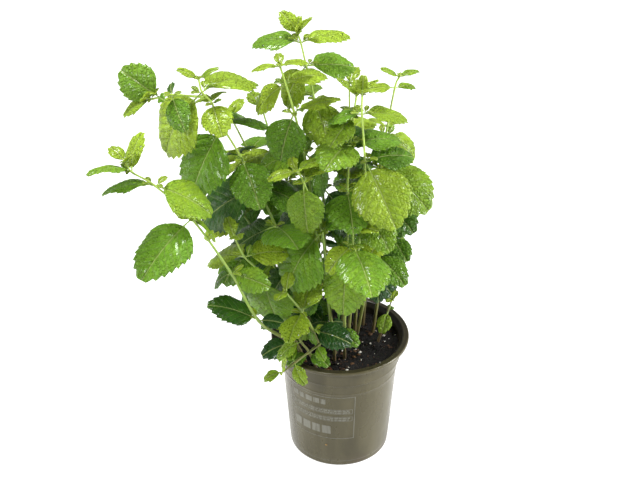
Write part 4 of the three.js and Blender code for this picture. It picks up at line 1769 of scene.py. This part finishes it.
def soil_surface(x: float, y: float) -> float:
    """The height of the soil with its clods and crumbs.

    Args:
        x: The place in mm.
        y: The place in mm.

    Returns:
        The height in mm.
    """
    broad = math.sin(0.21 * x + 1.3) * math.cos(0.17 * y)
    narrow = math.sin(0.33 * y + 0.12 * x)
    height = SOIL.top + SOIL.lump * (0.5 * broad + 0.5 * narrow)
    for size, layer, rise in ((9, 3.0, 1.3), (2.6, 7.0, 0.8), (1.1, 11.0, 0.3)):
        height += noise.noise(Vector((x / size, y / size, layer))) * rise
    return height


@dataclass(frozen=True)
class Grains:
    """Loose grains of one stuff: their piece's name, how many there are, and their sizes in mm."""

    name: str
    stuff: Stuff
    count: int
    smallest: float
    largest: float
    seed: int


@dataclass
class SoilBed:
    """The peat in the pot, with crumbs, perlite and dry scraps lying on it."""

    rings: int = 64
    segments: int = 168
    flake: float = 0.3  # thickness of a dry scrap as a share of its size
    sink: float = 0.18  # how far a grain's middle stands over the peat, as a share of its thickness
    loose: tuple[Grains, ...] = (
        Grains("peat_crumbs", Stuff.CRUMB, 420, 0.8, 3.2, 61),
        Grains("perlite", Stuff.PERLITE, 55, 1.0, 3.4, 62),
        Grains("leaf_scraps", Stuff.LITTER, 34, 2.5, 6.0, 63),
    )

    def radius(self, height: float) -> float:
        """The bed's radius at a height, just inside the pot's wall."""
        return POT.wall_radius(height) - POT.wall - SOIL.clearance

    def build(self) -> None:
        """Makes the bed, which replaces its solid, and what lies on it."""
        edge, foot = self.radius(SOIL.top), POT.floor + 0.4
        turns = np.arange(self.segments) * 2 * math.pi / self.segments
        points = []
        for ring, turn in product(range(1, self.rings + 1), turns):
            reach = edge * ring / self.rings
            x, y = reach * math.cos(turn), reach * math.sin(turn)
            points.append((x, y, soil_surface(x, y)))
        walls = (POT.band_foot + 1, POT.band_foot - POT.band_foot * 0.02, foot)
        for height in walls:
            reach = self.radius(height) - 0.2
            points += [(reach * math.cos(turn), reach * math.sin(turn), height) for turn in turns]
        points += [(0, 0, soil_surface(0, 0)), (0, 0, foot)]
        draft = Draft()
        rows = self.rings + len(walls)
        draft.add(np.array(points, dtype=float), capped_quads(rows, self.segments, flip=True))
        settle(draft.build("peat_bed", Stuff.SOIL), "soil", "soil")
        for grains in self.loose:
            self.scatter(grains)

    def scatter(self, grains: Grains) -> None:
        """Strews grains of one stuff, half sunk in the bed.

        Args:
            grains: The grains.
        """
        draft = Draft()
        random = ParkMiller(grains.seed)
        for _ in range(grains.count):
            points, quads = pebble(random)
            size = mix(grains.smallest, grains.largest, random.draw() ** 2)
            flat = self.flake if grains.stuff is Stuff.LITTER else random.between(0.55, 0.9)
            points = points * size * np.array([1.0, random.between(0.6, 1.0), flat])
            turn = random.between(0, 2 * math.pi)
            c, s = math.cos(turn), math.sin(turn)
            points = points @ np.array([[c, s, 0], [-s, c, 0], [0, 0, 1]])
            reach = (self.radius(SOIL.top) - 0.6 * size - 0.3) * math.sqrt(random.draw())
            where = random.between(0, 2 * math.pi)
            x, y = reach * math.cos(where), reach * math.sin(where)
            points = points + np.array([x, y, soil_surface(x, y) + self.sink * size * flat])
            draft.add(points, quads, tone=(0.5, random.draw(), 0.5))
        settle(draft.build(grains.name, grains.stuff), "soil")


@dataclass
class WitheredLeaves:
    """Dry brown leaves, caught between the stems on the soil, and a scrap that clings to the wall."""

    places: tuple[tuple[float, float, float, float, float], ...] = (
        (-8.0, -7.0, 285.0, 64.0, 19.0),  # x and y in mm, compass turn, rise and length
        (-15.0, -39.0, 320.0, 48.0, 10.0),
        (-30.0, -28.0, 215.0, 40.0, 11.0),
    )
    maker: LeafMaker = LeafMaker()
    width: float = 0.62  # share of the length
    stalk: float = 1.0
    curl: float = 1.8  # how much more than a fresh leaf they bend
    scrap_turn: float = -15.0  # degrees from the front
    scrap_height: float = 24.5
    scrap_size: float = 2.1

    def build(self) -> None:
        """Makes the leaves and the scrap."""
        draft = Draft()
        random = ParkMiller(91)
        for x, y, azimuth, tilt, length in self.places:
            foot = np.array([x, y, soil_surface(x, y) - 0.3])
            upright = np.array([0.0, 0.0, 1.0])
            leaf = Leaf(foot, upright, azimuth, tilt, 0.0, length, self.width, random.draw(), 0.0)
            leaf.petiole = self.stalk
            leaf.bend *= self.curl
            self.maker.add_blade(draft, leaf, 0.5, random.draw())
        self.add_scrap(draft, random)
        settle(draft.build("withered_leaves", Stuff.WITHERED, Stuff.WITHERED), "mint")

    def add_scrap(self, draft: Draft, random: ParkMiller) -> None:
        """Adds the scrap on the wall.

        Args:
            draft: What it is added to.
            random: Where its shape is drawn from.
        """
        points, quads = pebble(random)
        turn = math.radians(self.scrap_turn)
        outward = np.array([math.sin(turn), -math.cos(turn), 0.0])
        beside = np.array([math.cos(turn), math.sin(turn), 0.0])
        reach = POT.wall_radius(self.scrap_height) + 0.2
        points = points * self.scrap_size * np.array([1.0, 0.7, 0.25])
        points = points[:, :1] * beside + points[:, 1:2] * np.array([0.3, 0.0, 1.0]) + points[:, 2:] * outward
        centre = reach * outward + np.array([0.0, 0.0, self.scrap_height])
        draft.add(points + centre, quads, tone=(0.1, 0.1, 0.5))


@dataclass(frozen=True)
class Area:
    """A stretch of the pot's wall: its sides in degrees from the front, and its heights in mm."""

    left: float
    right: float
    bottom: float
    top: float


@dataclass
class PrintPanel:
    """A plain printed panel on the pot's wall: a frame, rows of blank blocks and a strip of small squares."""

    panel: Area = Area(-59.0, 15.0, 33.0, 81.0)
    line: float = 0.55
    row_line: float = 0.4
    film: float = 0.1
    root: float = -0.25  # how far the film's back lies off the wall
    heading: tuple[float, float] = (72.0, 77.5)  # lowest and highest point of each row, in mm
    rows: tuple[tuple[float, float], ...] = ((61.8, 67.0), (53.4, 58.6))
    strip: tuple[float, float] = (38.5, 47.5)
    squares: int = 4
    square: float = 9.5  # degrees
    square_step: float = 11.5

    def build(self) -> None:
        """Makes the panel."""
        draft = Draft()
        left, right = self.panel.left, self.panel.right
        self.add_frame(draft, self.panel, self.line)
        self.add_blocks(draft, Area(left + 6, left + 50, *self.heading), (4.5, 8.0), 71)
        for number, (low, high) in enumerate(self.rows):
            self.add_frame(draft, Area(left + 3, right - 2.5, low, high), self.row_line)
            middle = 0.5 * (low + high)
            for half, band in enumerate(((middle + 0.3, high - 0.9), (low + 0.9, middle - 0.3))):
                self.add_blocks(draft, Area(left + 5, right - 5, *band), (1.6, 5.0), 73 + 2 * number + half)
        for number in range(self.squares):
            start = left + 5 + self.square_step * number
            self.add_patch(draft, Area(start, start + self.square, *self.strip))
        settle(draft.build("print_panel", Stuff.INK, smooth=False), "pot")

    def add_patch(self, draft: Draft, area: Area) -> None:
        """Adds one printed patch, bent round the wall.

        Args:
            draft: What it is added to.
            area: Where it lies.
        """
        columns = max(2, math.ceil((area.right - area.left) / 2) + 1)
        turns = np.radians(np.linspace(area.left, area.right, columns))
        front, back, low, high = self.film, self.root, area.bottom, area.top
        shells = []
        for lift, height in ((front, low), (front, high), (back, high), (back, low)):
            reach = POT.wall_radius(height) + lift
            bend = (reach * np.sin(turns), -reach * np.cos(turns), np.full(columns, height))
            shells.append(np.stack(bend, axis=1))
        here = np.arange(columns - 1)
        seam = np.stack([3 * columns + here, 3 * columns + here + 1, here + 1, here], axis=1)
        near = np.array([[0, columns, 2 * columns, 3 * columns]])
        far = near[:, ::-1] + columns - 1
        draft.add(np.concatenate(shells), np.concatenate([grid_quads(4, columns), seam, near, far]))

    def add_frame(self, draft: Draft, area: Area, line: float) -> None:
        """Adds a printed outline.

        Args:
            draft: What it is added to.
            area: What it goes round, from the inside.
            line: The width of its lines in mm.
        """
        left, right, bottom, top = area.left, area.right, area.bottom, area.top
        wide = math.degrees(line / POT.wall_radius(bottom))
        self.add_patch(draft, Area(left, right, bottom, bottom + line))
        self.add_patch(draft, Area(left, right, top - line, top))
        for edge in (left, right - wide):
            self.add_patch(draft, Area(edge, edge + wide, bottom + line, top - line))

    def add_blocks(self, draft: Draft, area: Area, widths: tuple[float, float], seed: int) -> None:
        """Adds a row of blank blocks of uneven widths.

        Args:
            draft: What it is added to.
            area: Where the row lies.
            widths: The narrowest and widest block, in degrees.
            seed: Where its random numbers start.
        """
        random = ParkMiller(seed)
        left = area.left
        while left + widths[0] < area.right:
            right = min(area.right, left + random.between(*widths))
            self.add_patch(draft, Area(left, right, area.bottom, area.top))
            left = right + 0.35 * widths[0]


@dataclass
class Droplets:
    """Drops of water left on the leaves by misting."""

    stems: list[Stem]
    count: int = 360
    smallest: float = 0.35
    largest: float = 1.0
    wet_from: float = 16.0  # only leaves longer than this hold drops
    segments: int = 10
    dome: tuple[tuple[float, float], ...] = (  # radius and height of a drop 1 in radius
        (0.0, -0.2),
        (0.82, -0.2),
        (1.0, 0.1),
        (0.92, 0.42),
        (0.66, 0.68),
        (0.3, 0.82),
        (0.0, 0.86),
    )

    def build(self) -> None:
        """Makes all the drops, each on the upper side of a blade."""
        draft = Draft()
        random = ParkMiller(81)
        leaves = [s.leaf for stem in self.stems for s in stem.shoots if s.leaf.length > self.wet_from]
        for _ in range(self.count):
            leaf = leaves[int(random.draw() * len(leaves))]
            along = np.array([leaf.length * random.between(0.12, 0.9)])
            half = float(leaf.width * outline(along / leaf.length)[0])
            across = np.array([half * random.between(-0.8, 0.8)])
            seat = leaf.point(along, across, 0.3)[0]
            normal = unit(leaf.point(along, across, 1.3)[0] - seat)
            self.add_drop(draft, seat, normal, mix(self.smallest, self.largest, random.draw() ** 2))
        settle(draft.build("water_drops", Stuff.WATER), "mint")

    def add_drop(self, draft: Draft, seat: np.ndarray, normal: np.ndarray, size: float) -> None:
        """Adds one drop: a dome that is flat where it sits.

        Args:
            draft: What it is added to.
            seat: Where it sits.
            normal: The direction that it swells to.
            size: Its radius in mm.
        """
        across = unit(np.cross(normal, np.array([0.31, 0.77, 0.55])))
        beside = np.cross(normal, across)
        points, quads = turned(self.dome, self.segments)
        points = points[:, :1] * across + points[:, 1:2] * beside + points[:, 2:] * normal
        draft.add(seat + size * points, quads)


@dataclass(frozen=True)
class Softbox:
    """A rectangular lamp behind a diffuser: its place and its width and height in m, and its power in W."""

    name: str
    place: tuple[float, float, float]
    size: tuple[float, float]
    watts: float

    def hang(self, target: tuple[float, float, float]) -> None:
        """Hangs it so that it faces a place.

        Args:
            target: The place, in m.
        """
        lamp = bpy.data.lights.new(self.name, "AREA")
        lamp.shape, lamp.energy = "RECTANGLE", self.watts
        lamp.size, lamp.size_y = self.size
        thing = bpy.data.objects.new(self.name, lamp)
        thing.location = self.place
        thing.rotation_euler = (Vector(target) - Vector(self.place)).to_track_quat("-Z", "Y").to_euler()
        bpy.context.scene.collection.objects.link(thing)


@dataclass
class Studio:
    """A glowing white floor, soft light all round and the camera."""

    lens: float = 67.5
    camera_place: tuple[float, float, float] = (-17.42, -854.48, 720.89)  # mm
    camera_pitch: float = 59.0
    floor_reach: float = 3200.0  # mm from the middle of the floor to its edge
    floor_points: int = 9
    floor_drop: float = 0.05  # mm that it lies under the pot
    world_light: float = 0.3
    target: tuple[float, float, float] = (0.0, 0.0, 0.2)
    boxes: tuple[Softbox, ...] = (
        Softbox("overhead box", (-0.35, 0.3, 1.5), (0.3, 0.3), 27),
        Softbox("front box", (-0.7, -1.2, 1.3), (0.35, 0.35), 18.5),
        Softbox("left box", (-1.3, -0.1, 0.35), (0.4, 0.9), 7),
        Softbox("right box", (1.1, -0.1, 0.4), (0.25, 0.9), 18),
        Softbox("rim box", (0.95, -0.25, 1.1), (0.14, 0.14), 8),
    )

    def build(self) -> None:
        """Sets up the camera and the lights, and lays the floor."""
        self.set_camera()
        self.set_lights()
        self.lay_floor()

    def set_camera(self) -> None:
        """Sets up the camera."""
        lens = bpy.data.cameras.new("camera")
        lens.lens, lens.sensor_width = self.lens, 36.0
        thing = bpy.data.objects.new("camera", lens)
        thing.location = [value * MM for value in self.camera_place]
        thing.rotation_euler = (math.radians(self.camera_pitch), 0.0, 0.0)
        bpy.context.scene.collection.objects.link(thing)
        bpy.context.scene.camera = thing
        bpy.context.scene.view_settings.view_transform = "Standard"

    def set_lights(self) -> None:
        """Sets the light: a dim even surround, with boxes for sparks on the leaves and bands on the pot."""
        world = bpy.data.worlds.new("white surround")
        world.use_nodes = True
        surround = world.node_tree.nodes["Background"].inputs
        surround["Color"].default_value = (1.0, 1.0, 1.0, 1.0)
        surround["Strength"].default_value = self.world_light
        bpy.context.scene.world = world
        for box in self.boxes:
            box.hang(self.target)

    def lay_floor(self) -> None:
        """Lays the floor."""
        side = np.linspace(-self.floor_reach, self.floor_reach, self.floor_points)
        x, y = (grid.ravel() for grid in np.meshgrid(side, side, indexing="ij"))
        draft = Draft()
        points = np.stack([x, y, np.full_like(x, -self.floor_drop)], axis=1)
        draft.add(points, grid_quads(self.floor_points, self.floor_points)[:, ::-1])
        draft.build("studio_floor", Stuff.TABLE)


def corners(box: Iterable[Iterable[float]]) -> list[list[float]]:
    """A box's two corners as plain lists of numbers."""
    return [[float(value) for value in corner] for corner in box]


def main() -> None:
    """Builds the whole scene."""
    logging.basicConfig(level=logging.INFO, format="%(name)s: %(message)s")
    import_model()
    Studio().build()
    Pot().build()
    SoilBed().build()
    WitheredLeaves().build()
    PrintPanel().build()
    stems = grow_plant()
    for stem in stems:
        Foliage(stem).build()
    Droplets(stems).build()


if __name__ == "__main__":
    main()
